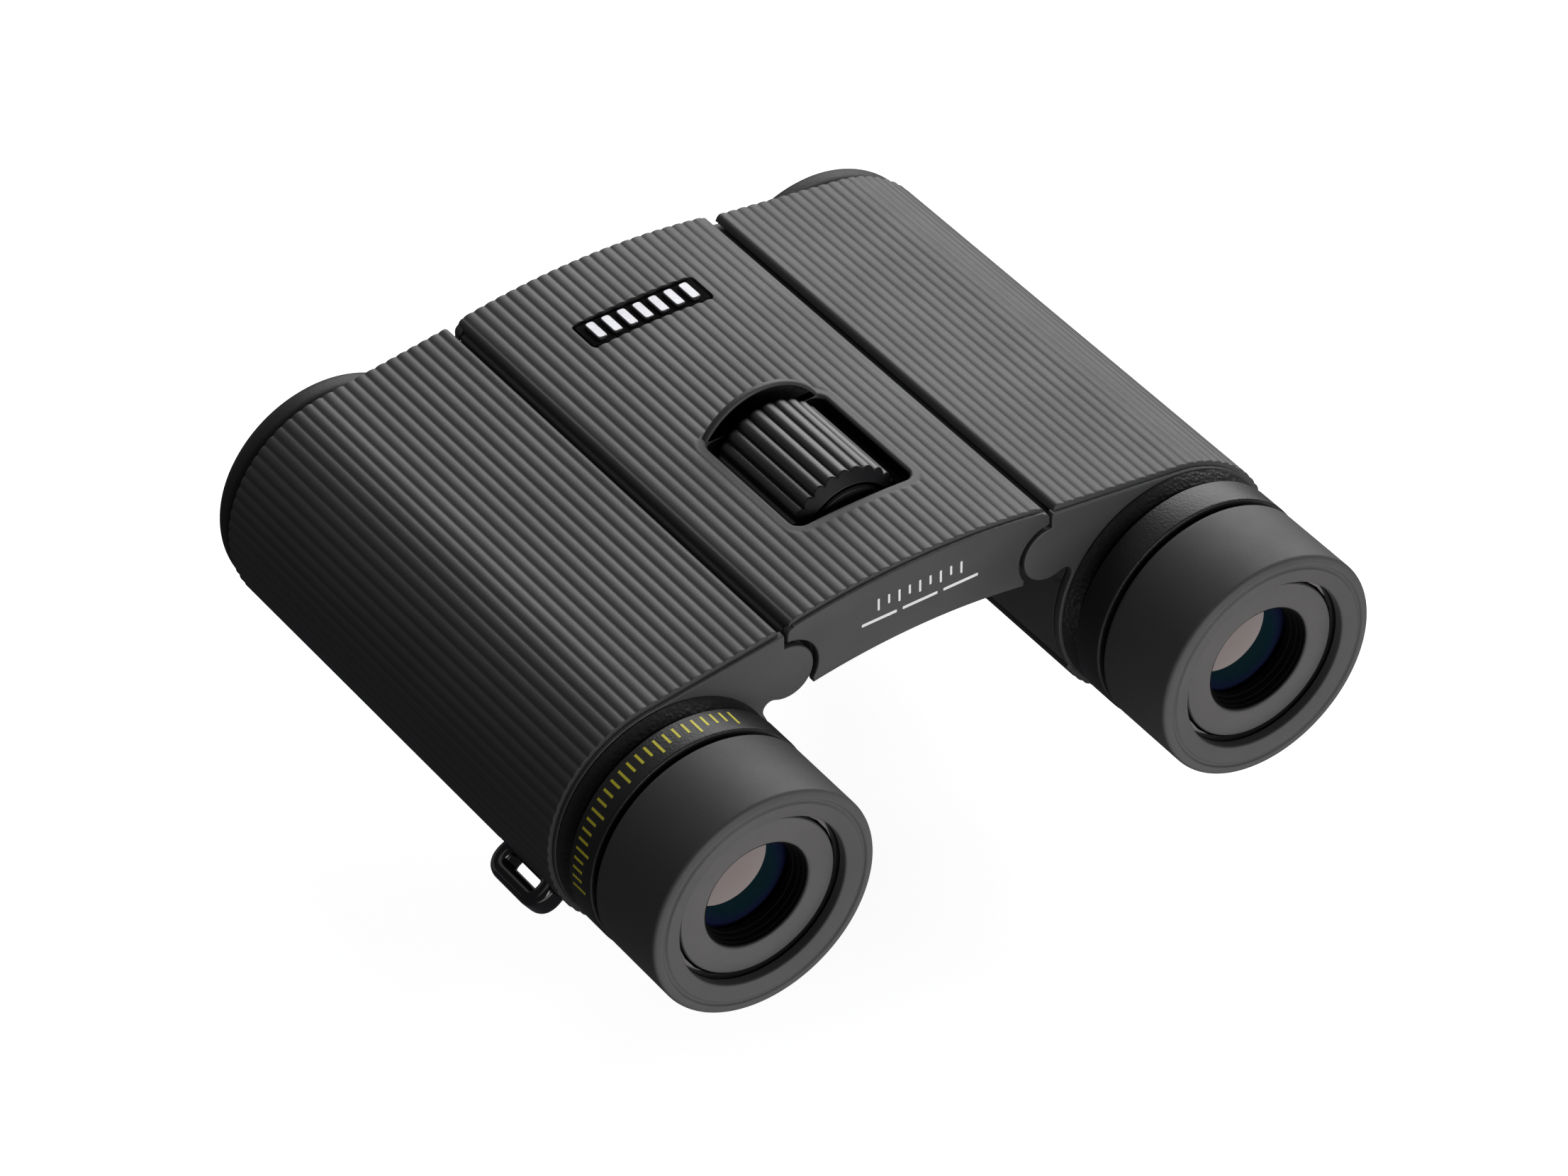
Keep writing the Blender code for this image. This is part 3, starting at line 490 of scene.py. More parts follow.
def barrel_outline(radius, corner_z, end_radius, seam=0.0):
    """The right barrel's section: top corner, round outside, inner cover, fillet and hinge knuckle.

    A seam is the depth of a fine groove along the inner cover, next to the fillet.
    """
    outside = arc(HALF_SPAN, AXIS_Z, radius, flange_line(radius, corner_z), ARMOUR_END_DEG, 96)
    a, b = end_radius + FILLET_R, KNUCKLE_R + FILLET_R
    span = hypot(HINGE_X - HALF_SPAN, HINGE_Z - AXIS_Z)
    line = atan2(AXIS_Z - HINGE_Z, HALF_SPAN - HINGE_X)
    swing = acos((b * b + span * span - a * a) / (2 * b * span))
    fx = HINGE_X + b * cos(line - swing)
    fz = HINGE_Z + b * sin(line - swing)
    meet = degrees(atan2(fz - AXIS_Z, fx - HALF_SPAN)) - 360
    cover = arc(HALF_SPAN, AXIS_Z, end_radius, ARMOUR_END_DEG, meet + 7.0, 24)
    if seam:
        for turn, depth in ((6.0, seam), (5.0, seam), (4.0, 0.0)):
            cover.append(polar(HALF_SPAN, AXIS_Z, end_radius - depth, meet + turn))
    cover.append(polar(HALF_SPAN, AXIS_Z, end_radius, meet))
    to_barrel = degrees(atan2(AXIS_Z - fz, HALF_SPAN - fx))
    to_knuckle = degrees(atan2(HINGE_Z - fz, HINGE_X - fx))
    fillet = arc(fx, fz, FILLET_R, to_barrel, to_knuckle, 10)
    top = degrees(acos((BARREL_SIDE - HINGE_X) / KNUCKLE_R))
    knuckle = arc(HINGE_X, HINGE_Z, KNUCKLE_R, degrees(line - swing), top - 360, 28)
    corner = [(BARREL_SIDE, corner_z - 0.5), (BARREL_SIDE + 0.15, corner_z - 0.15)]
    return corner + outside + cover[1:] + fillet[1:] + knuckle[1:]


# Ribbed armour

def rib_height(travel, pitch):
    """0 in a valley and 1 on a crest: broad round ribs and narrow valleys."""
    phase = (travel / pitch) % 1.0
    return 1.0 - abs(2 * phase - 1.0) ** 2.1


def edge_drop(distance, radius):
    """How far a rounded edge has fallen at a distance from the end."""
    short = max(0.0, radius - max(0.0, distance))
    return radius - (radius**2 - short**2) ** 0.5


def window_distance(x, y):
    """Signed distance outside the wheel's window."""
    middle = (WINDOW_Y[0] + WINDOW_Y[1]) / 2
    qx = abs(x) - WINDOW_HALF_X + WINDOW_R
    qy = abs(y - middle) - (WINDOW_Y[1] - WINDOW_Y[0]) / 2 + WINDOW_R
    return hypot(max(qx, 0.0), max(qy, 0.0)) + min(max(qx, qy), 0.0) - WINDOW_R


def stations(y0, y1, fine):
    """Places along Y: close together at both ends and inside the fine stretches."""
    near = (0.0, 0.03, 0.08, 0.16, 0.35)
    ys = {round(y0 + d, 3) for d in near} | {round(y1 - d, 3) for d in near}
    ys |= {round(y, 3) for y in spread(y0 + 1.5, y1 - 1.5, 20)}
    for low, high in fine:
        ys |= {round(y, 3) for y in spread(low, high, ceil((high - low) / 0.17))}
    return sorted(ys)


def lip_ends(y0, y1):
    """Short fine stretches at the inner edges of the two lips."""
    inner = (y0 + LIP_REACH, y1 - LIP_REACH)
    return [(y - 0.02, y + 0.02) for y in inner]


def bridge_skin_top(x, y, y0, y1):
    """Height of the bridge's rubber: ribs that fade out round the window, and rounded edges."""
    distance = window_distance(x, y)
    ribbed = smooth_step(1.15, 1.75, distance)
    valley = RIB_DEPTH * (1.0 - rib_height(x + RIB_PITCH / 2, RIB_PITCH))
    drop = valley * ribbed + 0.10 * (1.0 - ribbed)
    drop += edge_drop(SKIN_HALF - abs(x), 0.95) + edge_drop(min(y - y0, y1 - y), 0.16)
    if -0.2 < distance < 0.5:
        drop += edge_drop(distance, 0.42)
    return bridge_top(x) - drop


def window_block(name, grow, z0, z1):
    """The wheel's window as a solid, to cut with."""
    half, y0, y1 = WINDOW_HALF_X + grow, WINDOW_Y[0] - grow, WINDOW_Y[1] + grow
    radius = WINDOW_R + grow
    x, low, high = half - radius, y0 + radius, y1 - radius
    plan = arc(x, low, radius, -90, 0, 8) + arc(x, high, radius, 0, 90, 8)
    plan += arc(-x, high, radius, 90, 180, 8) + arc(-x, low, radius, 180, 270, 8)
    return make_object(name, *levelled(plan, ((z0, 0.0), (z1, 0.0))))


def bridge_skin_under(x, y, y0, y1):
    """Underside of the bridge's rubber: thin where it laps over an end plate, but full at its edges."""
    lapping = y < y0 + LIP_REACH or y > y1 - LIP_REACH
    thick = LIP if lapping and abs(x) < SKIN_HALF else ARMOUR + 0.15
    return bridge_top(x, thick)


def build_bridge_skin():
    y0, y1 = OCULAR_END + LIP, OBJECTIVE_END - 0.15
    per_rib = 10
    count = int((SKIN_HALF - 0.4) / RIB_PITCH * per_rib)
    ribs = [i * RIB_PITCH / per_rib for i in range(-count, count + 1)]
    edge = [SKIN_HALF - inset for inset in (0.25, 0.12, 0.04, 0.0)]
    xs = [-x for x in edge[::-1]] + ribs + edge
    ends = [(WINDOW_Y[0] - 2.1, WINDOW_Y[0] + 2.4), (WINDOW_Y[1] - 2.4, WINDOW_Y[1] + 2.1)]
    ys = stations(y0, y1, ends + lip_ends(y0, y1))
    under = spread(SKIN_HALF, -SKIN_HALF, 24)
    verts = []
    for y in ys:
        verts += [(x, y, bridge_skin_top(x, y, y0, y1)) for x in xs]
        verts += [(x, y, bridge_skin_under(x, y, y0, y1)) for x in under]
    skin = make_object("bridge_ribbed_skin", verts, capped_faces(len(ys), len(xs) + len(under)), 50)

    gap = 0.3
    half = BADGE_HALF + gap
    badge = rounded(rectangle(-half, half, BADGE_Y[0] - gap, BADGE_Y[1] + gap), 0.9)
    seat = make_object("badge_seat", *levelled(badge, ((CROWN_Z - 4, 0.0), (CROWN_Z + 3, 0.0))))
    carve(skin, [window_block("skin_window", 0.0, CROWN_Z - 6, CROWN_Z + 3), seat], sharp=50)
    fit(skin, "bridge", RUBBER, "armour_rubber", "bridge_armour")


def build_shade_liner():
    """A near-black liner over the walls of the wheel's window: painted shade, where those walls lie in
    shadow.
    """
    well = window_block("wheel_window_shade_liner", 0.22, CAVITY_TOP - 0.2, CROWN_Z - 1.0)
    carve(well, [window_block("well_opening", -0.05, CAVITY_TOP - 1, CROWN_Z + 1)])
    # Near-black baffle finish here is painted shade on the window's walls.
    fit(well, "bridge", BAFFLE, "housing_plastic")


def barrel_skin_line():
    """The armour's outer line on the right barrel: points with normals, and how deep each lies in its rib."""
    corner = Vector((BARREL_SIDE, BARREL_CORNER_Z))
    touch = flange_line(BARREL_R, BARREL_CORNER_Z)
    tangent = Vector(polar(HALF_SPAN, AXIS_Z, BARREL_R, touch))
    slope = (tangent - corner).normalized()
    inset = 0.6
    flat = (tangent - corner).length - inset
    total = flat + BARREL_R * radians(touch - ARMOUR_END_DEG)
    ribs = round(total / RIB_PITCH)
    per_rib = 9
    steps = ribs * per_rib
    line = []
    for i in range(steps + 1):
        travel = total * i / steps
        drop = RIB_DEPTH * (1.0 - rib_height(i, per_rib))
        drop += edge_drop(travel, 0.8) + edge_drop(total - travel, 0.6)
        if travel < flat:
            place, normal = corner + slope * (inset + travel), Vector((-slope.y, slope.x))
        else:
            turn = radians(touch) - (travel - flat) / BARREL_R
            normal = Vector((cos(turn), sin(turn)))
            place = Vector((HALF_SPAN, AXIS_Z)) + normal * BARREL_R
        line.append((place, normal, drop))
    return line


def build_barrel_skin(side, word):
    """The barrel's ribbed rubber, with its thin lip over the end plate and a seat for the lug."""
    y0, y1 = OCULAR_END + LIP, OBJECTIVE_END - 0.1
    line = barrel_skin_line()
    ys = stations(y0, y1, lip_ends(y0, y1))
    verts = []
    for y in ys:
        thick = LIP if y < y0 + LIP_REACH else ARMOUR
        lining_r = BARREL_R - thick - 0.05
        top = flange_line(lining_r, BARREL_CORNER_Z - thick)
        lining = [polar(HALF_SPAN, AXIS_Z, BARREL_R - ARMOUR - 0.05, ARMOUR_END_DEG)]
        lining += arc(HALF_SPAN, AXIS_Z, lining_r, ARMOUR_END_DEG + 5, top, 40)
        lining.append((BARREL_SIDE + 0.6, BARREL_CORNER_Z - ARMOUR - 0.12))
        fall = edge_drop(min(y - y0, y1 - y), 0.16)
        for place, normal, drop in line:
            point = place - normal * (drop + fall)
            verts.append((side * point.x, y, point.y))
        verts += [(side * x, y, z) for x, z in lining]
    faces = capped_faces(len(ys), len(line) + len(lining))
    skin = make_object(f"{word}_ribbed_skin", verts, faces, 50)
    carve(skin, [lug_block(side, 0.75)], sharp=50)
    fit(skin, f"{word}_barrel", RUBBER, "armour_rubber", f"{word}_barrel_armour")


# Strap lugs

def lug_point(side, y, radius, across):
    """A point of the lug: how far out from the barrel's axis, and how far across the lug."""
    turn = radians(LUG_ANGLE if side < 0 else 180 - LUG_ANGLE)
    x = side * HALF_SPAN + cos(turn) * radius - sin(turn) * across
    return (x, y, AXIS_Z + sin(turn) * radius + cos(turn) * across)


def lug_block(side, grow):
    """The seat round a lug, cut out of the armour."""
    half = LUG_WIDTH / 2 + grow
    plan = rounded(rectangle(LUG_Y[0] - grow, LUG_Y[1] + grow, -half, half), 1.2)
    verts = [lug_point(side, y, radius, c) for radius in (12.0, 20.0) for y, c in plan]
    return make_object("lug_seat", verts, capped_faces(2, len(plan)))


def build_lug(side, word):
    """A rounded band in a closed loop, with its inner side sunk in the barrel."""
    y0, y1 = LUG_Y[0] + LUG_BAND / 2, LUG_Y[1] - LUG_BAND / 2
    r0, r1 = LUG_RADII[0] + 0.2, LUG_RADII[1] - LUG_BAND / 2
    path = rounded([(y0, r0), (y1, r0), (y1, r1, 2.9), (y0, r1, 2.9)], 1.8, 10)
    half, width = LUG_BAND / 2, LUG_WIDTH / 2
    section = rounded(rectangle(-half, half, -width, width), 0.95, 6)
    verts = []
    for (y, r), n in zip(path, outward_normals(path)):
        n = n.normalized()
        verts += [lug_point(side, y + n.x * u, r + n.y * u, c) for u, c in section]
    lug = make_object(f"{word}_lug_loop", verts, grid_faces(len(path), len(section), close_rows=True), 40)
    fit(lug, f"{word}_barrel", GLOSS, "gloss_black_plastic", f"{word}_strap_lug")


# Bridge

def build_bridge():
    """The bridge's shell with its hinge ears, its two end plates and its belly cover."""
    y0, y1 = OCULAR_END + PLATE + 0.2, OBJECTIVE_END - PLATE - 0.2
    shell = slab("bridge_shell", bridge_outline(SKIN), y0, y1, bevel=0.15, steps=1)
    joins, cuts = [], []
    for side in (-1, 1):
        hinge = (side * HINGE_X, HINGE_Z)
        for low, high in (REAR_EAR, FRONT_EAR):
            x0, x1 = sorted((side * 14.5, side * HINGE_X))
            joins.append(block("ear_web", x0, x1, low, high, HINGE_Z - 2.1, HINGE_Z + 3.4))
            joins.append(rod("ear", hinge, KNUCKLE_R, low, high))
            cuts.append(rod("ear_bore", hinge, PIN_BORE, low - 1, high + 1, 32))
        x0, x1 = sorted((side * 10.0, side * 18.0))
        cuts.append(block("yoke_slot", x0, x1, *YOKE_SLOT_Y, HINGE_Z - 1.6, HINGE_Z + 2.2))
    cuts.append(block("cavity", -CAVITY_HALF, CAVITY_HALF, *CAVITY_Y, BELLY_CORNER_Z - 1, CAVITY_TOP))
    cuts.append(window_block("shell_window", 0.0, CAVITY_TOP - 1, CROWN_Z + 1))
    half, low, high, gap = 13.3, -25.0, 43.0, 0.3
    recess = [(x, bridge_belly(x, SKIN)) for x in spread(-half, half, 24)]
    recess += [(half, BELLY_CORNER_Z - 2), (-half, BELLY_CORNER_Z - 2)]
    cuts.append(slab("belly_recess", recess, low, high, bevel=0.0, steps=1))
    carve(shell, joins, "UNION")
    carve(shell, cuts)
    fit(shell, "bridge", SHELL, "housing_plastic", "bridge_housing")

    for word, start in (("ocular", OCULAR_END), ("objective", OBJECTIVE_END - PLATE)):
        face = slab(f"bridge_{word}_face", bridge_outline(LIP + 0.03, 1.0), start, start + PLATE, bevel=0.22)
        fit(face, "bridge", SHELL, "housing_plastic", f"bridge_{word}_plate")

    half -= gap
    line = [(x, bridge_belly(x, ARMOUR)) for x in spread(-half, half, 24)]
    line += [(x, bridge_belly(x)) for x in spread(half, -half, 24)]
    cover = slab("belly_cover", line, low + gap, high - gap, bevel=0.2)
    carve(cover, [window_block("cover_window", -0.6, BELLY_CORNER_Z - 4, BELLY_ARCH_Z + 4)])
    fit(cover, "bridge", SHELL, "housing_plastic", "bridge_bottom_cover")


def build_hood():
    """The thin raised arch at the far end of the wheel's window."""
    foot = CROWN_Z - 0.9
    outer_r, inner_r = WHEEL_R + 1.7, WHEEL_R + 0.85
    wide = degrees(acos((foot - WHEEL_Z) / outer_r))
    narrow = degrees(acos((foot - WHEEL_Z) / inner_r))
    line = arc(0, WHEEL_Z, outer_r, 90 - wide, 90 + wide, 56)
    line += arc(0, WHEEL_Z, inner_r, 90 + narrow, 90 - narrow, 56)
    hood = slab("wheel_arch", line, WINDOW_Y[1] - 0.1, WINDOW_Y[1] + 1.0, bevel=0.38, steps=5, sharp=60)
    fit(hood, "bridge", RUBBER, "armour_rubber", "wheel_hood")


def build_badge():
    """A black plate with plain silver bars."""
    top = CROWN_Z - 0.55
    outline = rounded(rectangle(-BADGE_HALF, BADGE_HALF, *BADGE_Y), 0.8)
    levels = ((CROWN_Z - 1.4, 0.0), (top - 0.15, 0.0), (top, 0.15))
    base = make_object("badge_base", *levelled(outline, levels))
    fit(base, "bridge", BAFFLE, "gloss_black_plastic", "badge_plate")

    bars, pitch, half, margin = 7, 2.45, 0.7, 0.75
    levels = ((top - 0.1, 0.0), (top + 0.38, 0.0), (top + 0.48, 0.12))
    parts = []
    for i in range(bars):
        middle = (i - (bars - 1) / 2) * pitch
        plan = rectangle(middle - half, middle + half, BADGE_Y[0] + margin, BADGE_Y[1] - margin)
        parts.append(levelled(rounded(plan, 0.5), levels))
    fit(gathered("badge_bars", parts), "bridge", SILVER, "gloss_black_plastic")


def build_scale():
    """A plain white scale on the bridge's end: nine ticks over three dashes."""
    ticks, pitch, half, middle = 9, 1.6, 0.16, AXIS_Z + 17.3
    marks = []
    for i in range(ticks):
        x = (i - (ticks - 1) / 2) * pitch
        down = 0.95 if i % 2 == 0 else 0.5
        marks.append(rectangle(x - half, x + half, middle - down, middle + 0.95))
    for x0, x1 in ((-9.0, -3.6), (-2.7, 2.7), (3.6, 9.0)):
        marks.append(rectangle(x0, x1, AXIS_Z + 14.75, AXIS_Z + 15.2))
    parts = []
    for mark in marks:
        outline = rounded(mark, 0.12, 3)
        verts = [(x, y, z) for y in (OCULAR_END - INK, OCULAR_END + INK_ROOT) for x, z in outline]
        parts.append((verts, capped_faces(2, len(outline))))
    fit(gathered("bridge_white_scale", parts), "bridge", WHITE_INK, "housing_plastic")


def build_ring_ticks():
    """Plain yellow ticks round the left ring, every fourth one longer."""
    ticks, first, pitch, half = 25, 66.0, 4.9, 0.62
    inner, outer, far = RING_R - INK_ROOT, RING_R + INK, -33.6
    parts = []
    for i in range(ticks):
        angle = first + pitch * i
        near = -36.2 if i % 4 == 0 else -35.5
        verts = []
        for turn in spread(angle - half, angle + half, 2):
            for r, y in ((inner, near), (outer, near), (outer, far), (inner, far)):
                x, z = polar(-HALF_SPAN, AXIS_Z, r, turn)
                verts.append((x, y, z))
        parts.append((verts, capped_faces(3, 4)))
    fit(gathered("left_ring_ticks", parts), "left_barrel", YELLOW_INK, "housing_plastic")


# Barrels

def build_barrel(side, word):
    """One barrel with everything on it. The side is -1 for the left one and 1 for the right one."""
    hinge = (side * HINGE_X, HINGE_Z)
    axis = (side * HALF_SPAN, AXIS_Z)
    body = f"{word}_barrel"
    y0 = OCULAR_END + PLATE + 0.15
    line = mirrored(barrel_outline(BARREL_R - SKIN, BARREL_CORNER_Z - SKIN, INNER_COVER_R, 0.14), side)
    shell = slab(f"{word}_barrel_shell", line, y0, OBJECTIVE_END, bevel=0.2, steps=2)
    past = OBJECTIVE_END + 1
    bore = [
        (0, y0 - 1), (OCULAR_BORE_R, y0 - 1), (OCULAR_BORE_R, OCULAR_STEP), (BORE_R, OCULAR_STEP),
        (BORE_R, past), (0, past),
    ]
    cuts = [turned("bore", axis, bore, 96)]
    ears = [(low - EAR_PLAY, high + EAR_PLAY) for low, high in (REAR_EAR, FRONT_EAR)]
    for low, high in (*ears, LINK_ZONE):
        cuts.append(rod("notch", hinge, KNUCKLE_R + 0.45, low, high))
    cuts.append(rod("rear_pin_bore", hinge, PIN_BORE, -27.2, LINK_ZONE[0] + 1, 32))
    cuts.append(rod("front_pin_bore", hinge, PIN_BORE, LINK_ZONE[1] - 1, past, 32))
    cuts.append(rod("pin_head_seat", hinge, 2.6, 45.1, past, 40))
    carve(shell, cuts)
    fit(shell, body, SHELL, "housing_plastic", f"{word}_barrel_housing")

    line = mirrored(barrel_outline(BARREL_R - LIP - 0.08, BARREL_CORNER_Z - LIP - 0.1, INNER_COVER_R), side)
    plate = slab(f"{word}_end_face", line, OCULAR_END, OCULAR_END + PLATE, bevel=0.22)
    carve(plate, [rod("plate_bore", axis, OCULAR_BORE_R, OCULAR_END - 1, OCULAR_END + 3, 96)])
    fit(plate, body, SHELL, "housing_plastic", f"{word}_end_plate")

    build_barrel_skin(side, word)
    build_lug(side, word)
    build_objective(word, axis, body)
    build_ocular(side, word, axis, body)


def build_objective(word, axis, body):
    """The objective end: rubber rim, retaining ring and front glass."""
    rim = [
        (13.9, 47.4, 0), (16.2, 47.4, 0.3), (16.8, 48.2, 0.8), (16.8, 50.0, 1.2), (15.9, RIM_FACE, 0.9),
        (13.4, RIM_FACE, 0.35), (12.9, 50.9, 0.3), (12.9, 49.5, 0), (13.9, 49.5, 0),
    ]
    piece = turned(f"{word}_front_rim", axis, rounded(rim, 0.0, 6), 144, 60)
    fit(piece, body, RIM, "armour_rubber", f"{word}_objective_rim")
    ring = [
        (12.95, 38.0), (13.7, 38.0), (13.7, 49.3), (12.75, 49.3), (12.55, 49.1), (12.55, 48.7), (12.3, 48.4),
        (12.95, 48.3),
    ]
    piece = turned(f"{word}_front_ring", axis, ring, 128)
    fit(piece, body, ANODISED, "black_aluminium", f"{word}_objective_cell")
    radius, front, bulge = 12.7, 46.6, 1.5
    glass = [(0.0, 42.4), (radius, 42.4), (radius, front)]
    glass += [(radius * t, front + bulge * (1 - t * t)) for t in spread(0.95, 0.0, 14)]
    mat = coated_glass(
        f"{word}_front_coating", axis, 12.4, (0.004, 0.010, 0.010), (0.010, 0.020, 0.034), (0.03, 0.02, 0.06)
    )
    piece = turned(f"{word}_front_glass", axis, glass, 128, 40)
    fit(piece, body, mat, "coated_glass", f"{word}_objective_lens")


def build_ocular(side, word, axis, body):
    """The eyepiece end, from the collar to the glass. Only the right lens and ring move for the dioptre."""
    collar = [(12.7, -31.6, 0), (15.4, -31.6, 0.35), (16.45, -29.7, 0.0), (12.7, -29.7, 0)]
    piece = turned(f"{word}_pebbled_collar", axis, rounded(collar, 0.0, 3), 144, 50)
    fit(piece, body, PEBBLED, "housing_plastic", f"{word}_collar")
    ring = [(13.5, -37.4, 0), (RING_R, -37.4, 0.4), (RING_R, -32.7, 0.25), (13.5, -32.7, 0)]
    piece = turned(f"{word}_ocular_ring", axis, rounded(ring, 0.0, 5), 144, 60)
    if side < 0:
        fit(piece, body, RING, "housing_plastic", "left_name_ring")
    else:
        fit(piece, "diopter_ring", RING, "housing_plastic", "right_diopter_ring")
    cup = [
        (13.5, -37.9, 0), (15.8, -37.9, 0.25), (16.5, -38.6, 0.3), (16.5, -51.25, 1.9),
        (15.35, EYE_FACE, 0.25), (15.05, -51.18, 0.12), (14.75, -51.24, 0.15), (14.5, -51.42, 0.25),
        (12.4, -51.02, 0.3), (12.4, -49.7, 0), (13.5, -49.7, 0),
    ]
    piece = turned(f"{word}_cup_rubber", axis, rounded(cup, 0.0, 8), 160, 60)
    fit(piece, f"{word}_eyecup", CUP, "cup_rubber", f"{word}_eyecup")
    lens_body = body if side < 0 else "right_ocular_cell"
    cell = [
        (7.75, -46.2), (9.9, -46.2), (9.9, -24.0), (10.9, -24.0), (10.9, -47.2), (11.5, -47.2),
        (11.5, -49.55), (11.35, -49.7), (8.15, -49.7), (7.95, -49.66), (7.8, -49.55), (7.75, -49.45),
    ]
    piece = turned(f"{word}_lens_ring", axis, cell, 144, 40)
    fit(piece, lens_body, ANODISED, "black_aluminium", f"{word}_eye_lens_cell")
    lining = [
        (7.7, -49.4), (7.7, -46.25), (7.0, -46.25), (6.95, -47.2), (7.2, -47.25), (7.2, -48.1), (7.4, -48.15),
        (7.4, -48.9), (7.55, -48.95), (7.55, -49.4),
    ]
    piece = turned(f"{word}_black_baffle", axis, lining, 128, 30)
    fit(piece, lens_body, BAFFLE, "black_aluminium")
    radius, rear, bulge = 9.6, -44.7, 1.35
    glass = [(0.0, -40.8), (radius, -42.4), (radius, rear)]
    glass += [(radius * t, rear - bulge * (1 - t * t)) for t in spread(0.95, 0.0, 14)]
    mat = coated_glass(
        f"{word}_eye_coating", axis, 7.2, (0.003, 0.010, 0.011), (0.003, 0.012, 0.017), (0.008, 0.011, 0.036)
    )
    piece = turned(f"{word}_eye_glass", axis, glass, 128, 40)
    fit(piece, lens_body, mat, "coated_glass", f"{word}_eye_lens")


# Focusing wheel

def toothed_ring(name, rows, bore, radius_at):
    """A ring round the wheel's shaft. Its radius comes from y and the flute: 0 in a valley, 1 on a crest."""
    samples = 14
    count = FLUTES * samples
    turns = [2 * pi * i / count for i in range(count)]
    teeth = [abs(sin(pi * (i % samples) / samples)) ** 0.6 for i in range(count)]
    verts = []
    for y in rows:
        radii = [radius_at(y, tooth) for tooth in teeth]
        verts += [(r * cos(turn), y, WHEEL_Z + r * sin(turn)) for r, turn in zip(radii, turns)]
    for y in (rows[-1], rows[0]):
        verts += [(bore * cos(turn), y, WHEEL_Z + bore * sin(turn)) for turn in turns]
    return make_object(name, verts, grid_faces(len(rows) + 2, count, close_rows=True), 50)


def build_wheel():
    """The fluted grip, a near-black satin bevel over its near cone, and the hub. The bevel's darkness is
    partly the hub's dark plastic and partly painted shade.
    """
    y0, y1 = WHEEL_Y
    bevel, slope = 1.35, 1.3

    def cone(y):
        return WHEEL_R - max(0.0, y0 + bevel - y) * slope

    def grip_radius(y, tooth):
        fluted = WHEEL_R - edge_drop(y1 - y, 0.35) - FLUTE_DEPTH * (1 - tooth)
        return min(fluted, cone(y))

    def bevel_radius(y, tooth):
        """Just over the grip on the cone, and just under it where the flutes begin."""
        return min(WHEEL_R - FLUTE_DEPTH * (1 - tooth) - 0.012, cone(y) + 0.02)

    rows = spread(y0, y0 + bevel + 0.1, 14)
    grip = toothed_ring("wheel_fluted_grip", rows + [y1 - 0.8, y1 - 0.35, y1 - 0.1, y1], 6.6, grip_radius)
    fit(grip, "focus_wheel", GRIP, "grip_rubber", "focus_wheel_grip")
    # The bevel skin takes the hub's near-black plastic: partly that plastic's own colour, partly painted
    # shade on a face the lamps leave dark.
    shaded_cone_face = toothed_ring("wheel_bevel_painted_shade", rows, 6.4, bevel_radius)
    fit(shaded_cone_face, "focus_wheel", DISC, "gloss_black_plastic")
    hub = [
        (1.8, y0 - 0.1, 0), (5.0, y0 - 0.1, 0.2), (5.6, y0 - 0.3, 0.2), (6.3, y0 - 0.22, 0.3),
        (6.5, y0 + 0.2, 0), (6.5, y1 - 0.3, 0), (6.0, y1, 0.2), (1.8, y1, 0),
    ]
    piece = turned("wheel_disc", (0, WHEEL_Z), rounded(hub, 0.0, 4), 96, 50)
    fit(piece, "focus_wheel", DISC, "gloss_black_plastic", "focus_wheel_hub")


def paint_frame():
    """Materials for the CAD pieces that show, or may show, as they are."""
    looks = (
        (STEEL, ("hinge_pin", "transfer_rod", "lead_screw")),
        (BRASS, ("shaft_bush", "focus_yoke")),
        (ANODISED, ("prism_holder", "ocular_tube", "focus_cell")),
        (GLOSS, ("eyecup_sleeve",)),
        (INNER_GLASS, ("penta_prism", "roof_prism", "field_lens", "focus_lens")),
    )
    for name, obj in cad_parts.items():
        if obj.hide_render:
            continue
        found = [mat for mat, words in looks if any(word in name for word in words)]
        obj.data.materials.clear()
        obj.data.materials.append(found[0] if found else SHELL)


build_bridge()
build_bridge_skin()
build_shade_liner()
build_hood()
build_badge()
for barrel_side, barrel_word in ((-1, "left"), (1, "right")):
    build_barrel(barrel_side, barrel_word)
build_scale()
build_ring_ticks()
build_wheel()
paint_frame()


# Floor, light and camera

def build_floor():
    """A pale floor, low enough for the folded barrels and their strap lugs."""
    size, height = 3000.0, -14.5
    verts = [(x * MM, y * MM, height * MM) for x, y in rectangle(-size, size, -size, size)]
    mesh = bpy.data.meshes.new("floor")
    mesh.from_pydata(verts, [], [(0, 1, 2, 3)])
    floor = bpy.data.objects.new("floor", mesh)
    bpy.context.scene.collection.objects.link(floor)
    paint = grained("pale_floor", (0.60, 0.60, 0.60), 0.7, grain=300, height=0.01, patch=3.0, tint=0.01)
    mesh.materials.append(paint)
    shader = paint.node_tree.nodes["Principled BSDF"]
    shader.inputs["Emission Color"].default_value = (1.0, 1.0, 1.0, 1.0)
    shader.inputs["Emission Strength"].default_value = 0.82
    floor.visible_diffuse = False
    floor.visible_glossy = False


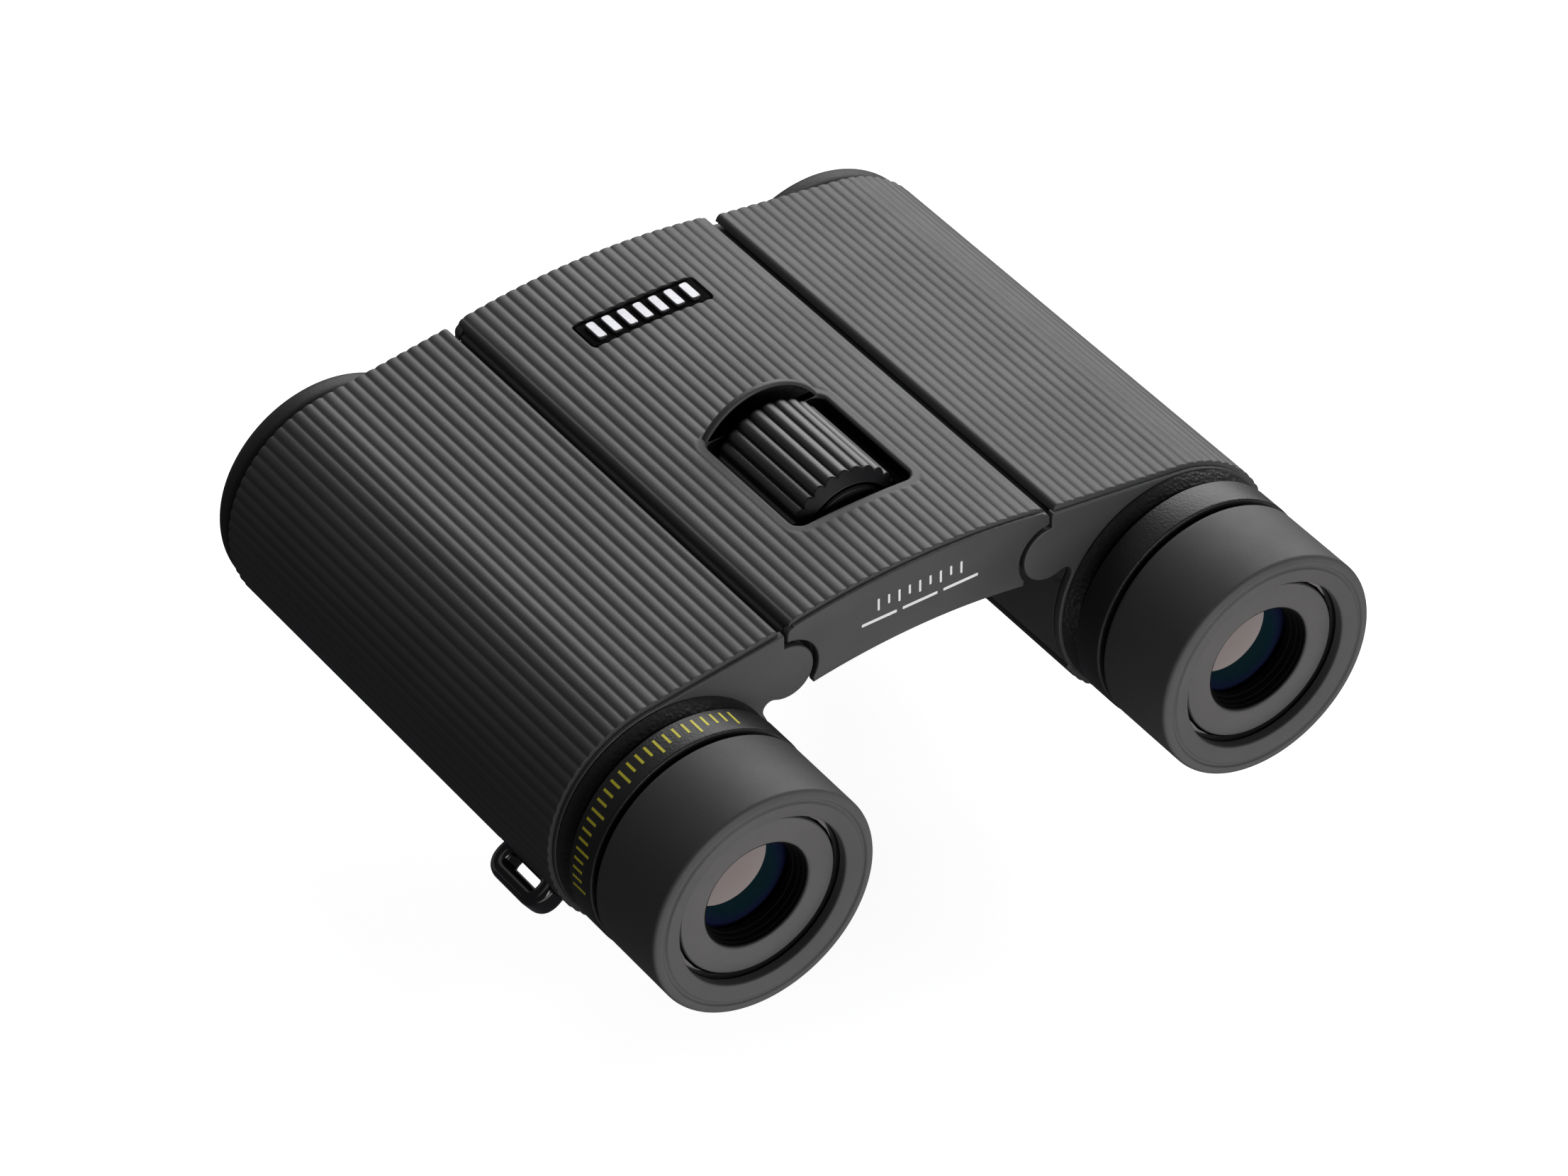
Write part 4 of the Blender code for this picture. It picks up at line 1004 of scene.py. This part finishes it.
def soft_light(name, place, target, width, height, watts, colour=(1.0, 1.0, 1.0)):
    data = bpy.data.lights.new(name, "AREA")
    data.shape = "RECTANGLE"
    data.size = width
    data.size_y = height
    data.energy = watts
    data.color = colour
    lamp = bpy.data.objects.new(name, data)
    lamp.location = place
    aim = Vector(target) - Vector(place)
    lamp.rotation_euler = aim.to_track_quat("-Z", "Y").to_euler()
    bpy.context.scene.collection.objects.link(lamp)
    return lamp


def build_camera():
    """A long lens from above the left eyepiece."""
    data = bpy.data.cameras.new("camera")
    data.lens = 164.6
    data.sensor_width = 36.0
    data.clip_start, data.clip_end = 0.01, 20.0
    camera = bpy.data.objects.new("camera", data)
    right = Vector((0.82134, -0.57039, -0.00751))
    forward = Vector((0.43565, 0.63571, -0.63724))
    up = right.cross(forward)
    turn = Matrix((right, up, -forward)).transposed().to_4x4()
    camera.matrix_world = Matrix.Translation((-0.4072, -0.5934, 0.6094)) @ turn
    bpy.context.scene.collection.objects.link(camera)
    bpy.context.scene.camera = camera


def build_light():
    """Soft boxes in metres and watts, and a low warm card that the eye lenses reflect."""
    world = bpy.data.worlds.new("studio")
    world.use_nodes = True
    background = world.node_tree.nodes["Background"]
    background.inputs["Color"].default_value = (0.9, 0.93, 1.0, 1.0)
    background.inputs["Strength"].default_value = 0.07
    bpy.context.scene.world = world
    middle = (0.0, 0.0, 0.02)
    soft_light("key_softbox", (0.74, 0.58, 0.58), middle, 1.2, 1.0, 17.8)
    soft_light("front_fill", (0.10, -0.98, 0.24), middle, 0.8, 0.5, 7.1)
    soft_light("top_softbox", (-0.35, 0.30, 0.95), middle, 0.8, 0.8, 0.9)
    soft_light("rear_fill", (-0.55, 0.85, 0.22), middle, 0.6, 0.5, 0.25)
    place, above = (0.069, -0.140, -0.014), (0.069, -0.140, 1.0)
    card = soft_light("eyepiece_card", place, above, 0.32, 0.164, 0.246, (1.0, 0.95, 0.93))
    card.visible_camera = False


build_floor()
build_light()
build_camera()
bpy.context.scene.view_settings.view_transform = "Standard"
